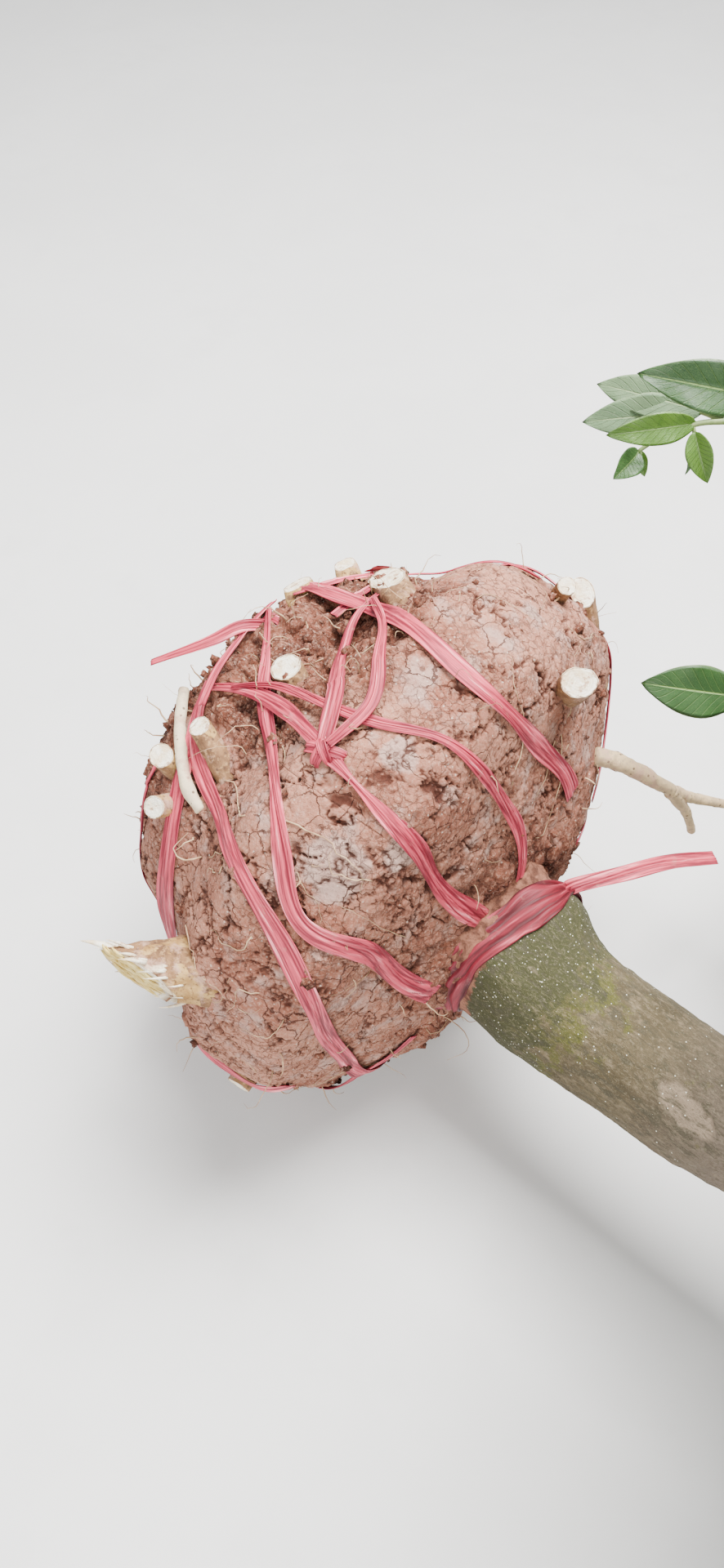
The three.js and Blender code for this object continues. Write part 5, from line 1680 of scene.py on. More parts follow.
@dataclass
class Crown:
    """Boughs, twigs and leaves, grown inside the same masses and by the same rule as the solids."""

    camera: Camera
    targets: int = 9
    reach: float = 0.64
    stray_reach: float = 0.070
    leaf_length: Pair = (0.074, 0.104)
    small_leaves: Pair = (0.12, 0.62)
    leaves_on_twig: int = 4
    view_margin: float = 14.0
    rows: int = 64
    sides: int = 36

    @staticmethod
    def first_number(seed: int) -> float:
        """First value from 0 to 1 of the small generator that the solids use, for a seed."""
        state = (seed + 0x6D2B79F5) & LARGEST_WORD
        value = ((state ^ (state >> 15)) * (state | 1)) & LARGEST_WORD
        value ^= (value + ((value ^ (value >> 7)) * (value | 61) & LARGEST_WORD)) & LARGEST_WORD
        return ((value ^ (value >> 14)) & LARGEST_WORD) / (LARGEST_WORD + 1.0)

    def bough(self, mass: Mass) -> Shape:
        """A bough's skin: a bent taper, swollen where it leaves the wood that carries it.

        Args:
            mass: the mass of foliage that it carries.

        Returns:
            The shape.
        """
        root, via, tip, heading = mass.skeleton()
        foot = root - unit(via - root) * 0.006
        t = np.linspace(0, 1, self.rows)
        path = bend(foot[None], via[None], (tip + heading * 0.004)[None], t)
        swell = 1 + 0.3 * np.maximum(0, 1 - t / 0.22) ** 1.5
        blunt = np.sqrt(np.clip(np.minimum(t, 1 - t) / 0.008, 0.03, 1))
        width = mix(mass.radii[0], mass.radii[1], t) * swell * blunt * MM
        rings = rings_along(path, width[None], self.sides)
        flat = rings.reshape(-1, 3)
        relief = fractal(flat / 0.055, 101, 3) * 0.075 + fractal(flat / 0.012, 102, 3) * 0.022
        nodes = np.maximum(0, np.cos(TURN * (t * 9 + mass.seed * 0.37))) ** 10 * 0.05
        middle = path[:, :, None]
        height = 1 + relief.reshape(rings.shape[:3]) + nodes[None, :, None]
        rings = middle + (rings - middle) * height[..., None]
        shape = closed_tubes(rings, path[:, 0], path[:, -1]).outward()
        length = float(np.linalg.norm(np.diff(path[0], axis=0), axis=1).sum())
        shape.uv = shape.uv * (0.12, length)
        return shape

    def space(self, mass: Mass, points: Array) -> Array:
        """How deep, in metres, points lie inside what a mass may fill; below 0 is outside.

        A mass fills its sphere above the ground, up to the planes where it meets the other
        spheres, and narrow lanes to its stray tips, all outside the photograph's frame.

        Args:
            mass: the mass.
            points: places in metres, shape (n, 3).

        Returns:
            One depth for each point.
        """
        centre, radius = np.array(mass.centre) * MM, mass.radius * MM
        power = np.sum((points - centre) ** 2, axis=-1) - radius ** 2
        room = np.minimum(radius - np.linalg.norm(points - centre, axis=-1), points[:, 2] - 0.0005)
        for other in MASSES:
            if other.name != mass.name:
                apart = np.linalg.norm((np.array(other.centre) - mass.centre) * MM)
                away = np.sum((points - np.array(other.centre) * MM) ** 2, axis=-1)
                rival = away - (other.radius * MM) ** 2
                room = np.minimum(room, (rival - power) / (2 * apart) + 0.02)
        room = np.minimum(room, (self.camera.beyond(points) - self.view_margin) * MM)
        for stray in mass.strays:
            line = np.array(stray) * MM - centre
            t = np.clip((points - centre) @ line / (line @ line), 0, 1)[:, None]
            lane = self.stray_reach - np.linalg.norm(points - centre - t * line, axis=-1)
            lane = np.minimum(lane, (self.camera.beyond(points) - self.view_margin) * MM)
            room = np.maximum(room, lane)
        return room

    def fitted(self, mass: Mass, start: Array, reach: Array) -> tuple[Array, Array]:
        """Twig ends drawn back until they lie inside the mass.

        Args:
            mass: the mass.
            start: where the twigs leave, shape (n, 3).
            reach: vectors to their ends, shape (n, 3).

        Returns:
            Shares of the reach, and whether any share above nothing fits.
        """
        share = np.zeros(len(start))
        for trial in (0.35, 0.55, 0.75, 1.0):
            good = self.space(mass, start + reach * trial) > 0.004
            share = np.where(good & ((share > 0) | (trial == 0.35)), trial, share)
        return share, share > 0

    def forks(self, mass: Mass, paths: Array, kind: TwigOrder, random: Random) -> tuple[Array, Array]:
        """One order of twigs, which leave those before at the golden angle and bend outwards.

        Args:
            mass: the mass.
            paths: the twigs before, shape (k, stations, 3).
            kind: the order's numbers.
            random: source of chance.

        Returns:
            The new twigs' paths, and which of the k times per_twig forks fit inside the mass.
        """
        centre, radius = np.array(mass.centre) * MM, mass.radius * MM
        count, rows = paths.shape[:2]
        share = np.linspace(kind.first_share, 1.0, kind.per_twig)[None]
        share = share + random.uniform(-0.05, 0.02, (count, kind.per_twig))
        start, tangent = part_way(paths, np.clip(share, 0.1, 1.0) * (rows - 1.001))
        across, over = cross_frame(tangent)
        turn = (np.arange(kind.per_twig) * GOLDEN_ANGLE)[None] + random.uniform(0, TURN, (count, 1))
        open_angle = random.uniform(0.55, 1.15, (count, kind.per_twig))
        open_angle[:, -1] = random.uniform(0.0, 0.25, count)
        aim = around(tangent, around(across, over, turn), open_angle)
        aim = unit(aim + unit(start - centre) * 0.35 + TRUNK_AXIS * 0.15).reshape(-1, 3)
        length = radius * kind.length * random.uniform(0.7, 1.25, len(aim))
        start, tangent = start.reshape(-1, 3), tangent.reshape(-1, 3)
        fit, good = self.fitted(mass, start, aim * length[:, None])
        start, tangent, aim = start[good], tangent[good], aim[good]
        length = (length * fit)[good][:, None]
        bow = start + (tangent * 0.35 + aim * 0.35) * length
        return bend(start, bow, start + aim * length, np.linspace(0, 1, kind.stations)), good

    def stalks(self, paths: Array, random: Random) -> tuple[Array, Array]:
        """Where leaves leave the finest twigs.

        Args:
            paths: the twigs' middle lines.
            random: the mass's generator.

        Returns:
            The places, and the directions of the leaves' stalks.
        """
        share = np.linspace(0.22, 1.0, self.leaves_on_twig)
        place = np.broadcast_to(share * (paths.shape[1] - 1.001), (len(paths), len(share)))
        spots, tangent = part_way(paths, place)
        across, over = cross_frame(tangent)
        turn = (np.arange(len(share)) * GOLDEN_ANGLE)[None] + random.uniform(0, 6.28, (len(paths), 1))
        lean = np.where(share > 0.99, 0.2, 0.95)[None] + random.uniform(-0.2, 0.2, turn.shape)
        stalk = around(tangent, around(across, over, turn), lean)
        return spots.reshape(-1, 3), stalk.reshape(-1, 3)

    def grow(self, mass: Mass, random: Random) -> tuple[Shape, Array, Array, Array]:
        """The stem and twigs of one mass, and where its leaves stand.

        The stem goes on from the bough to beyond the middle. Twigs leave it towards evenly
        spread targets, two finer orders fork off those, and leaves stand along the finest ones.

        Args:
            mass: the mass.
            random: source of chance.

        Returns:
            The twigs' shape; and the leaves' bases, stalk directions and spray numbers from 0 to 1.
        """
        centre, radius = np.array(mass.centre) * MM, mass.radius * MM
        _, _, tip, heading = mass.skeleton()
        foot, end = tip + heading * 0.0003, centre + heading * 0.45 * radius
        via = foot + heading * 0.5 * radius
        t = np.linspace(0, 1, 24)
        stem = bend(foot[None] - heading * 0.01, via[None], end[None], t)
        stem_width = mix(mass.radii[1] * 0.9, 8.0, t) * MM * np.sqrt(np.clip((1 - t) / 0.03, 0.04, 1))
        parts = [tubes(stem, stem_width[None], 10)]
        index = np.arange(self.targets)
        height = 1 - (2 * index + 1) / self.targets
        turn = index * GOLDEN_ANGLE + self.first_number(mass.seed) * TURN
        flat = np.sqrt(1 - height ** 2)
        targets = centre + columns(np.cos(turn) * flat, np.sin(turn) * flat, height) * self.reach * radius
        targets[:, 2] = np.maximum(targets[:, 2], 0.022)
        if mass.strays:
            targets = np.vstack([targets, np.array(mass.strays) * MM])
        along = np.clip(0.62 * ((targets - foot) @ heading) / np.linalg.norm(end - foot), 0.16, 0.97)
        start, tangent = (found[0] for found in part_way(stem, along[None] * (len(t) - 1)))
        gap = np.linalg.norm(targets - start, axis=1, keepdims=True)
        first_via = mix(start, targets, 0.45) + tangent * gap * 0.14
        stations = np.linspace(0, 1, 16)
        paths = bend(start, first_via, targets, stations)
        wobble = gradient_noise(paths.reshape(-1, 3) / 0.06 + mass.seed, 111).reshape(len(paths), -1)
        bump = np.sin(np.pi * stations) * 0.008
        paths = paths + np.stack([wobble, np.roll(wobble, 3, 0), np.roll(wobble, 5, 0)], -1) * bump[:, None]
        width = mix(6.0, 2.4, stations) * MM * np.sqrt(np.clip((1 - stations) / 0.04, 0.08, 1))
        parts.append(tubes(paths, np.broadcast_to(width, paths.shape[:2]), 7))
        spray = random.random(len(paths))
        for kind in TWIG_ORDERS:
            paths, good = self.forks(mass, paths, kind, random)
            spray = np.repeat(spray, kind.per_twig)[good]
            if kind is TWIG_ORDERS[0]:
                spray = spray * 0.35 + random.random(len(spray)) * 0.65
            width = mix(*kind.widths, np.linspace(0, 1, kind.stations)) * MM
            parts.append(tubes(paths, np.broadcast_to(width, paths.shape[:2]), kind.sides))
        base, stalk = self.stalks(paths, random)
        return joined(parts), base, stalk, np.repeat(spray, self.leaves_on_twig)

    def dress(self, mass: Mass, base: Array, stalk: Array, spray: Array,
              random: Random) -> Shape:
        """Leaves on short stalks, kept where the whole leaf lies inside the mass.

        Args:
            mass: the mass.
            base: where the stalks leave the twigs, shape (n, 3).
            stalk: their directions, shape (n, 3).
            spray: from 0 to 1, which deals out the tint.
            random: source of chance.

        Returns:
            The joined shape, whose finishes 0 to 3 are upper tints, 4 the underside, 5 the stalk.
        """
        centre = np.array(mass.centre) * MM
        count = len(base)
        length = random.uniform(*self.leaf_length, count)
        chosen = random.random(count) < self.small_leaves[0]
        length = length * np.where(chosen, self.small_leaves[1], 1.0)
        outward = unit(base - centre)
        heading = unit(stalk + outward * 0.25 - UP * 0.22 + random.normal(0, 0.12, (count, 3)))
        joint = base + stalk * 0.011
        tip = joint + heading * length[:, None]
        middle = joint + heading * length[:, None] * 0.5
        good = (self.space(mass, tip) > 0.001) & (self.space(mass, middle) > 0.006)
        base, stalk, heading, joint, length = (part[good] for part in (base, stalk, heading, joint, length))
        outward, spray, count = outward[good], spray[good], int(good.sum())
        facing = TRUNK_AXIS * 0.6 + outward * 0.5 + UP * 0.4 + random.normal(0, 0.4, (count, 3))
        facing = unit(facing - heading * np.sum(facing * heading, axis=1, keepdims=True))
        fold = random.uniform(0.1, 0.6, count)
        curl = random.uniform(-0.1, 0.9, count)
        wide = random.uniform(0.88, 1.12, count)
        shape = Leaves.blades(joint, heading, facing, length, fold, curl, wide, Leaves.along, Leaves.half, 2)
        shape = Leaves.tinted(shape, np.clip((spray * 4).astype(int), 0, 3))
        bow = bend(base, base + stalk * 0.006, joint + heading * 0.004, np.linspace(0, 1, 3))
        width = np.broadcast_to([0.0011, 0.0010, 0.0009], (count, 3))
        stalks = tubes(bow, width, 3).finished(Leaves.stalk)
        shape.points[:, 2] = np.maximum(shape.points[:, 2], 0.0005)
        return joined([shape, stalks])

    def build(self, bough_bark: Material, twig_bark: Material, tints: list[Material]) -> None:
        """Makes the boughs, then each mass's twigs and leaves."""
        for mass in MASSES:
            name = mass.bough or mass.name
            make_piece(f"bough_{name}_skin", self.bough(mass), [bough_bark], Slot.BOUGH, (f"bough_{name}",))
            random = np.random.default_rng(mass.seed)
            twigs, base, stalk, spray = self.grow(mass, random)
            leaves = self.dress(mass, base, stalk, spray, random)
            make_piece(f"twigs_{mass.name}", twigs, [twig_bark], Slot.LEAF)
            make_piece(f"leaves_{mass.name}", leaves, tints, Slot.LEAF, (f"foliage_{mass.name}",))


@dataclass(frozen=True)
class PlacedLeaf:
    """A leaf at the photograph's edge: base and tip as (pixel across, pixel down, depth in metres)."""

    base: Triple
    tip: Triple
    facing: Triple
    wide: float = 1.0
    fold: float = 0.3
    curl: float = 0.4
    tint: int = 1


NEAR_TWIGS = (
    ((912, 514, 0.690), (886, 516, 0.690), (853, 519, 0.690), (800, 540, 0.697), (781, 553, 0.700)),
    ((912, 514, 0.690), (930, 500, 0.692), (948, 488, 0.694)),
    ((886, 516, 0.690), (868, 508, 0.700), (850, 503, 0.712)),
    ((935, 872, 1.155), (922, 862, 1.152), (908, 854, 1.150)),
)
NEAR_LEAVES = (
    PlacedLeaf((944, 490, 0.694), (779, 457, 0.690), (0.05, -0.30, 0.95), 0.88, 0.42, 0.35, 0),
    PlacedLeaf((862, 505, 0.706), (730, 470, 0.724), (0.20, -0.15, 0.95), 0.85, 0.15, 0.25, 4),
    PlacedLeaf((850, 505, 0.712), (712, 517, 0.722), (0.25, -0.10, 0.95), 0.85, 0.2, 0.3, 4),
    PlacedLeaf((853, 518, 0.690), (741, 533, 0.688), (0.10, -0.35, 0.92), 0.78, 0.35, 0.30, 3),
    PlacedLeaf((782, 553, 0.700), (750, 587, 0.698), (0.70, 0.45, 0.60), 1.7, 0.5, 0.5, 2),
    PlacedLeaf((784, 552, 0.700), (789, 584, 0.703), (-0.5, 0.2, 0.85), 1.3, 0.5, 0.4, 3),
    PlacedLeaf((850, 528, 0.690), (866, 592, 0.700), (-0.45, 0.25, 0.85), 1.25, 0.55, 0.45, 3),
    PlacedLeaf((850, 530, 0.694), (838, 582, 0.706), (0.6, 0.1, 0.8), 1.0, 0.4, 0.4, 4),
    PlacedLeaf((908, 853, 1.150), (784, 836, 1.146), (0.15, -0.25, 0.95), 1.12, 0.16, 0.22, 0),
)


@dataclass
class NearSprays:
    """The two sprays that reach the photograph's right edge, on the tips of the stray twigs."""

    camera: Camera
    lanes: int = 12
    stations: int = 17

    def ends(self) -> tuple[Array, Array]:
        """Where the placed leaves' bases and tips are, in metres."""
        spot = self.camera.spot
        return (np.array([spot(*leaf.base) for leaf in NEAR_LEAVES]),
                np.array([spot(*leaf.tip) for leaf in NEAR_LEAVES]))

    def leaves(self) -> Shape:
        """The placed leaves as finer blades, turned so that base and tip lie at their pixels.

        A blade bent along an arc of a given angle has a chord that leans from its first heading
        by half that angle, so the heading is turned back by as much, and the length is the
        chord's times the angle over twice the sine of half of it.

        Returns:
            The joined shape, whose finishes 0 to 3 are tints, and 4 the underside.
        """
        back = self.camera.back()
        right = unit(np.cross(UP, back))
        base, tip = self.ends()
        facing, curl, fold, wide, tint = (np.array([getattr(leaf, key) for leaf in NEAR_LEAVES])
                                          for key in ("facing", "curl", "fold", "wide", "tint"))
        chord, reach = unit(tip - base), np.linalg.norm(tip - base, axis=1)
        facing = unit(facing @ np.array([right, np.cross(back, right), back]))
        face = unit(facing - chord * np.sum(facing * chord, axis=1, keepdims=True))
        heading = chord * np.cos(curl / 2)[:, None] + face * np.sin(curl / 2)[:, None]
        length = reach * curl / (2 * np.sin(curl / 2))
        along = np.linspace(0, 1, self.stations + 2)[1:-1]
        half = 0.235 * np.sin(np.pi * along ** 0.86) ** 0.72 * (1 - 0.25 * along ** 5)
        shape = Leaves.blades(base, heading, face, length, fold, curl, wide, along, half, self.lanes, 0.012)
        return Leaves.tinted(shape, tint)

    def twigs(self) -> Shape:
        """Twigs through their pixels, and a stalk from the nearest twig point to each leaf."""
        paths = [spline(np.array([self.camera.spot(*spot) for spot in twig]), 24) for twig in NEAR_TWIGS]
        parts = [tubes(path[None], np.linspace(0.0021, 0.0012, 24)[None], 8) for path in paths]
        on_twigs = np.vstack(paths)
        base, tip = self.ends()
        foot = on_twigs[np.linalg.norm(base[:, None] - on_twigs[None], axis=-1).argmin(axis=1)]
        end = base + unit(tip - base) * 0.004
        stalks = bend(foot, (foot + base) / 2, end, np.linspace(0, 1, 6))
        parts.append(tubes(stalks, np.full((len(base), 6), 0.0010), 6))
        return joined(parts)

    def build(self, twig_bark: Material, tints: list[Material]) -> None:
        """Makes the near twigs and the near leaves."""
        make_piece("twigs_near_sprays", self.twigs(), [twig_bark], Slot.LEAF)
        make_piece("leaves_near_sprays", self.leaves(), tints, Slot.LEAF)


class NodeSheet:
    """Short words for wiring a node tree."""

    def __init__(self, tree: bpy.types.NodeTree) -> None:
        """Keeps the tree that the nodes go into."""
        self.tree = tree

    def node(self, kind: str, **settings: object) -> bpy.types.Node:
        """Adds a node and sets its plain settings."""
        made = self.tree.nodes.new(kind)
        for key, value in settings.items():
            setattr(made, key, value)
        return made

    def put(self, socket: bpy.types.NodeSocket, value: object) -> None:
        """Links a socket to another, or sets it to a constant; a colour gets its alpha."""
        if isinstance(value, bpy.types.NodeSocket):
            self.tree.links.new(value, socket)
        elif isinstance(value, tuple) and socket.type == "RGBA":
            socket.default_value = (*value, 1.0)[:4]
        else:
            socket.default_value = value

    def math(self, operation: str, first: object, second: object = 0.0, third: object = 0.0) -> object:
        """A Math node's value."""
        made = self.node("ShaderNodeMath", operation=operation)
        for socket, value in zip(made.inputs, (first, second, third)):
            self.put(socket, value)
        return made.outputs[0]

    def blend(self, share: object, first: object, second: object, mode: str = "MIX") -> object:
        """A colour that goes from the first to the second with the share."""
        made = self.node("ShaderNodeMix", data_type="RGBA", blend_type=mode)
        for place, value in ((0, share), (6, first), (7, second)):
            self.put(made.inputs[place], value)
        return made.outputs[2]

    def coats(self, colour: object, *coats: tuple) -> object:
        """A colour with coats over it, each laid on as a value's smooth step or multiple says.

        Args:
            colour: the colour underneath.
            coats: a value, the numbers of its smooth step or the one that multiplies it, and the
                coat's colour.

        Returns:
            The colour with all of them.
        """
        for value, span, coat in coats:
            share = self.ramp(value, *span) if isinstance(span, tuple) else self.math("MULTIPLY", value, span)
            colour = self.blend(share, colour, coat)
        return colour

    def ramp(self, value: object, low: float, high: float, start: float = 0.0, end: float = 1.0) -> object:
        """A smooth step of a value, from start at low to end at high."""
        made = self.node("ShaderNodeMapRange", interpolation_type="SMOOTHSTEP")
        for socket, number in zip(made.inputs, (value, low, high, start, end)):
            self.put(socket, number)
        return made.outputs[0]

    def scaled(self, vector: object, scale: Triple) -> object:
        """A vector stretched along its axes."""
        made = self.node("ShaderNodeMapping")
        self.put(made.inputs["Vector"], vector)
        made.inputs["Scale"].default_value = scale
        return made.outputs[0]

    def noise(self, vector: object, scale: object, detail: float = 3.0, rough: float = 0.55,
              warp: float = 0.0) -> object:
        """A noise value.

        Args:
            vector: where it is read.
            scale: how many patches fit in a metre, about.
            detail: how many finer layers it has.
            rough: how strong the finer layers are.
            warp: how far it is distorted.

        Returns:
            The value's socket.
        """
        made = self.node("ShaderNodeTexNoise")
        for name, value in (("Vector", vector), ("Scale", scale), ("Detail", detail), ("Roughness", rough),
                            ("Distortion", warp)):
            self.put(made.inputs[name], value)
        return made.outputs[0]

    def cells(self, vector: object, scale: object, kind: str = "F1") -> bpy.types.Node:
        """A Voronoi node."""
        made = self.node("ShaderNodeTexVoronoi", feature=kind)
        self.put(made.inputs["Vector"], vector)
        self.put(made.inputs["Scale"], scale)
        return made

    def attribute(self, name: str) -> object:
        """A value dealt out over the mesh's points."""
        return self.node("ShaderNodeAttribute", attribute_name=name).outputs["Fac"]

    def group(self, tree: bpy.types.NodeTree, **values: object) -> object:
        """First output of a shared group placed with its own values."""
        made = self.node("ShaderNodeGroup", node_tree=tree)
        for name, value in values.items():
            self.put(made.inputs[name.replace("_", " ").title()], value)
        return made.outputs[0]

    def parts(self, vector: object) -> list[object]:
        """The three parts of a vector."""
        made = self.node("ShaderNodeSeparateXYZ")
        self.put(made.inputs[0], vector)
        return list(made.outputs)

    def uv(self) -> tuple[object, object, object]:
        """The piece's own surface coordinates: the vector and its two parts."""
        made = self.node("ShaderNodeUVMap", uv_map="Surface").outputs[0]
        return made, *self.parts(made)[:2]

    def place(self) -> object:
        """Object coordinates."""
        return self.node("ShaderNodeTexCoord").outputs["Object"]


@dataclass(frozen=True)
class SharedEffect:
    """Effects that several finishes use, each a node group built once."""

    mottle: bpy.types.NodeTree
    speckle: bpy.types.NodeTree
    relief: bpy.types.NodeTree

    @staticmethod
    def start(name: str, inputs: tuple[tuple[str, str], ...], output: tuple[str, str]) -> tuple:
        """An empty group with sockets.

        Args:
            name: the group's name.
            inputs: name and kind of each input.
            output: name and kind of its output.

        Returns:
            The group, its sheet, its inputs by name, and the socket that takes what it puts out.
        """
        tree = bpy.data.node_groups.new(name, "ShaderNodeTree")
        for label, kind in inputs:
            tree.interface.new_socket(label, in_out="INPUT", socket_type="NodeSocket" + kind)
        tree.interface.new_socket(output[0], in_out="OUTPUT", socket_type="NodeSocket" + output[1])
        sheet = NodeSheet(tree)
        entry = sheet.node("NodeGroupInput")
        return tree, sheet, entry.outputs, sheet.node("NodeGroupOutput").inputs[0]

    @classmethod
    def make(cls) -> "SharedEffect":
        """Builds the three groups: patches of three colours, small dots, and a grained height."""
        colours = (("Vector", "Vector"), ("Scale", "Float"), ("First", "Color"), ("Second", "Color"),
                   ("Third", "Color"))
        mottle, sheet, entry, exit_socket = cls.start("mottle", colours, ("Color", "Color"))
        broad = sheet.noise(entry["Vector"], entry["Scale"], 5.0, 0.62, 0.4)
        finer = sheet.noise(entry["Vector"], sheet.math("MULTIPLY", entry["Scale"], 3.7), 5.0, 0.65)
        base = sheet.blend(sheet.ramp(broad, 0.36, 0.62), entry["First"], entry["Second"])
        sheet.put(exit_socket, sheet.blend(sheet.ramp(finer, 0.50, 0.68), base, entry["Third"]))
        dots = (("Vector", "Vector"), ("Scale", "Float"), ("Size", "Float"), ("Share", "Float"))
        speckle, sheet, entry, exit_socket = cls.start("speckle", dots, ("Mask", "Float"))
        cell = sheet.cells(entry["Vector"], entry["Scale"])
        inside = sheet.math("LESS_THAN", cell.outputs["Distance"], entry["Size"])
        parts = sheet.node("ShaderNodeSeparateColor")
        sheet.put(parts.inputs[0], cell.outputs["Color"])
        chosen = sheet.math("LESS_THAN", parts.outputs[0], entry["Share"])
        sheet.put(exit_socket, sheet.math("MULTIPLY", inside, chosen))
        grains = (("Vector", "Vector"), ("Scale", "Float"), ("Grit", "Float"))
        relief, sheet, entry, exit_socket = cls.start("relief", grains, ("Height", "Float"))
        broad = sheet.noise(entry["Vector"], entry["Scale"], 6.0, 0.6)
        grit = sheet.noise(entry["Vector"], sheet.math("MULTIPLY", entry["Scale"], 6.0), 4.0, 0.7)
        sheet.put(exit_socket, sheet.math("MULTIPLY_ADD", grit, entry["Grit"], broad))
        return cls(mottle, speckle, relief)


@dataclass(frozen=True)
class Finish:
    """What the materials have in common: a start, an end, and the shared effects."""

    shared: SharedEffect

    def open(self, name: str) -> tuple[Material, NodeSheet, bpy.types.Node]:
        """A new material with its sheet and its Principled shader."""
        material = bpy.data.materials.new(name)
        material.use_nodes = True
        shader = next(n for n in material.node_tree.nodes if n.type == "BSDF_PRINCIPLED")
        return material, NodeSheet(material.node_tree), shader

    def mottled(self, sheet: NodeSheet, place: object, scale: float, colours: tuple[Triple, ...]) -> object:
        """Patches of three colours."""
        first, second, third = colours
        return sheet.group(self.shared.mottle, vector=place, scale=scale, first=first, second=second,
                           third=third)

    def speckled(self, sheet: NodeSheet, place: object, scale: float, size: float, share: float) -> object:
        """A mask of small dots in a share of the cells."""
        return sheet.group(self.shared.speckle, vector=place, scale=scale, size=size, share=share)

    def grained(self, sheet: NodeSheet, place: object, scale: float, grit: float) -> object:
        """A grained height."""
        return sheet.group(self.shared.relief, vector=place, scale=scale, grit=grit)

    def close(self, sheet: NodeSheet, shader: bpy.types.Node, colour: object, relief: tuple[object, float],
              **plain: float) -> None:
        """Feeds the shader its colour and its bump, and sets its plain sockets.

        Args:
            sheet: the material's sheet.
            shader: its Principled shader.
            colour: the finished colour.
            relief: the bump's height, and the distance in metres that it stands for.
            plain: numbers for the shader's own sockets, by their names in small letters.
        """
        sheet.put(shader.inputs["Base Color"], colour)
        sockets = {socket.name.lower().replace(" ", "_"): socket for socket in shader.inputs}
        for name, value in plain.items():
            sockets[name].default_value = value
        made = sheet.node("ShaderNodeBump")
        made.inputs["Distance"].default_value = relief[1]
        made.inputs["Strength"].default_value = 1.0
        sheet.put(made.inputs["Height"], relief[0])
        sheet.put(shader.inputs["Normal"], made.outputs[0])


@dataclass(frozen=True)
class Soil(Finish):
    """Clay: dusty patches on the cut side, darker and redder where broken, and darker still in hollows, pits
    and cracks, as painted shade.
    """

    # the darkest clay: dark grains, and the painted shade in hollows and cracks
    deep: Triple = (0.065, 0.016, 0.009)
    cut: tuple[Triple, ...] = ((0.29, 0.105, 0.065), (0.46, 0.205, 0.135), (0.45, 0.275, 0.22))
    torn: tuple[Triple, ...] = ((0.065, 0.016, 0.009), (0.24, 0.080, 0.046), (0.36, 0.160, 0.100))
    ashen: Triple = (0.54, 0.36, 0.295)
    dust: Triple = (0.62, 0.39, 0.29)
    # painted shade of small pits
    pit: Triple = (0.20, 0.070, 0.040)
    grain: Triple = (0.66, 0.55, 0.45)

    def cracks(self, sheet: NodeSheet, place: object) -> object:
        """Cracks along the borders of bent cells, and hair cracks between finer ones elsewhere, as a mask for
        the bump and for painted shade.

        Args:
            sheet: the material's sheet.
            place: Object coordinates.

        Returns:
            The mask's socket.
        """
        shift = sheet.node("ShaderNodeTexNoise")
        for name, value in (("Vector", place), ("Scale", 60.0), ("Detail", 5.0), ("Roughness", 0.65)):
            sheet.put(shift.inputs[name], value)
        bent = sheet.node("ShaderNodeVectorMath", operation="MULTIPLY_ADD")
        for socket, value in zip(bent.inputs, (shift.outputs["Color"], (0.016, 0.016, 0.016), place)):
            sheet.put(socket, value)
        where = sheet.noise(place, 22.0, 4.0, 0.6)
        masks = []
        for scale, edge, span in ((46.0, (0.006, 0.035, 1.0, 0.0), (0.42, 0.60)),
                                  (120.0, (0.01, 0.06, 0.55, 0.0), (0.58, 0.44))):
            border = sheet.cells(bent.outputs[0], scale, "DISTANCE_TO_EDGE").outputs[0]
            masks.append(sheet.math("MULTIPLY", sheet.ramp(border, *edge), sheet.ramp(where, *span)))
        return sheet.math("MAXIMUM", *masks)

    def material(self) -> Material:
        """Builds the material."""
        material, sheet, shader = self.open("clay_soil")
        place = sheet.place()
        ash = sheet.math("ADD", sheet.attribute("ash"), sheet.noise(place, 45.0, 6.0, 0.7))
        fine = sheet.noise(place, 330.0, 5.0, 0.8)
        crack = self.cracks(sheet, place)
        colour = sheet.coats(
            self.mottled(sheet, place, 9.0, self.cut),
            (sheet.attribute("rough"), (0.25, 0.8), self.mottled(sheet, place, 34.0, self.torn)),
            (ash, (0.98, 1.20, 0.0, 0.75), self.ashen),
            (fine, (0.48, 0.66, 0.0, 0.45), self.dust),
            # painted shade: small dark spots for pits
            (fine, (0.34, 0.46, 0.55, 0.0), self.pit),
            (self.speckled(sheet, place, 260.0, 0.24, 0.10), 0.6, self.grain),
            (self.speckled(sheet, place, 120.0, 0.3, 0.08), 0.55, self.deep),
            # painted shade in the relief's hollows: cracks, pits and the gaps between clods and crumbs
            (sheet.attribute("hollow"), (0.05, 0.8, 0.0, 0.9), self.deep),
            # painted shade: the cracks darkened to the darkest clay
            (crack, 0.85, self.deep))
        height = sheet.math("MULTIPLY_ADD", crack, -0.9, self.grained(sheet, place, 190.0, 0.5))
        self.close(sheet, shader, colour, (height, 0.0024), roughness=0.95, specular_ior_level=0.25)
        return material


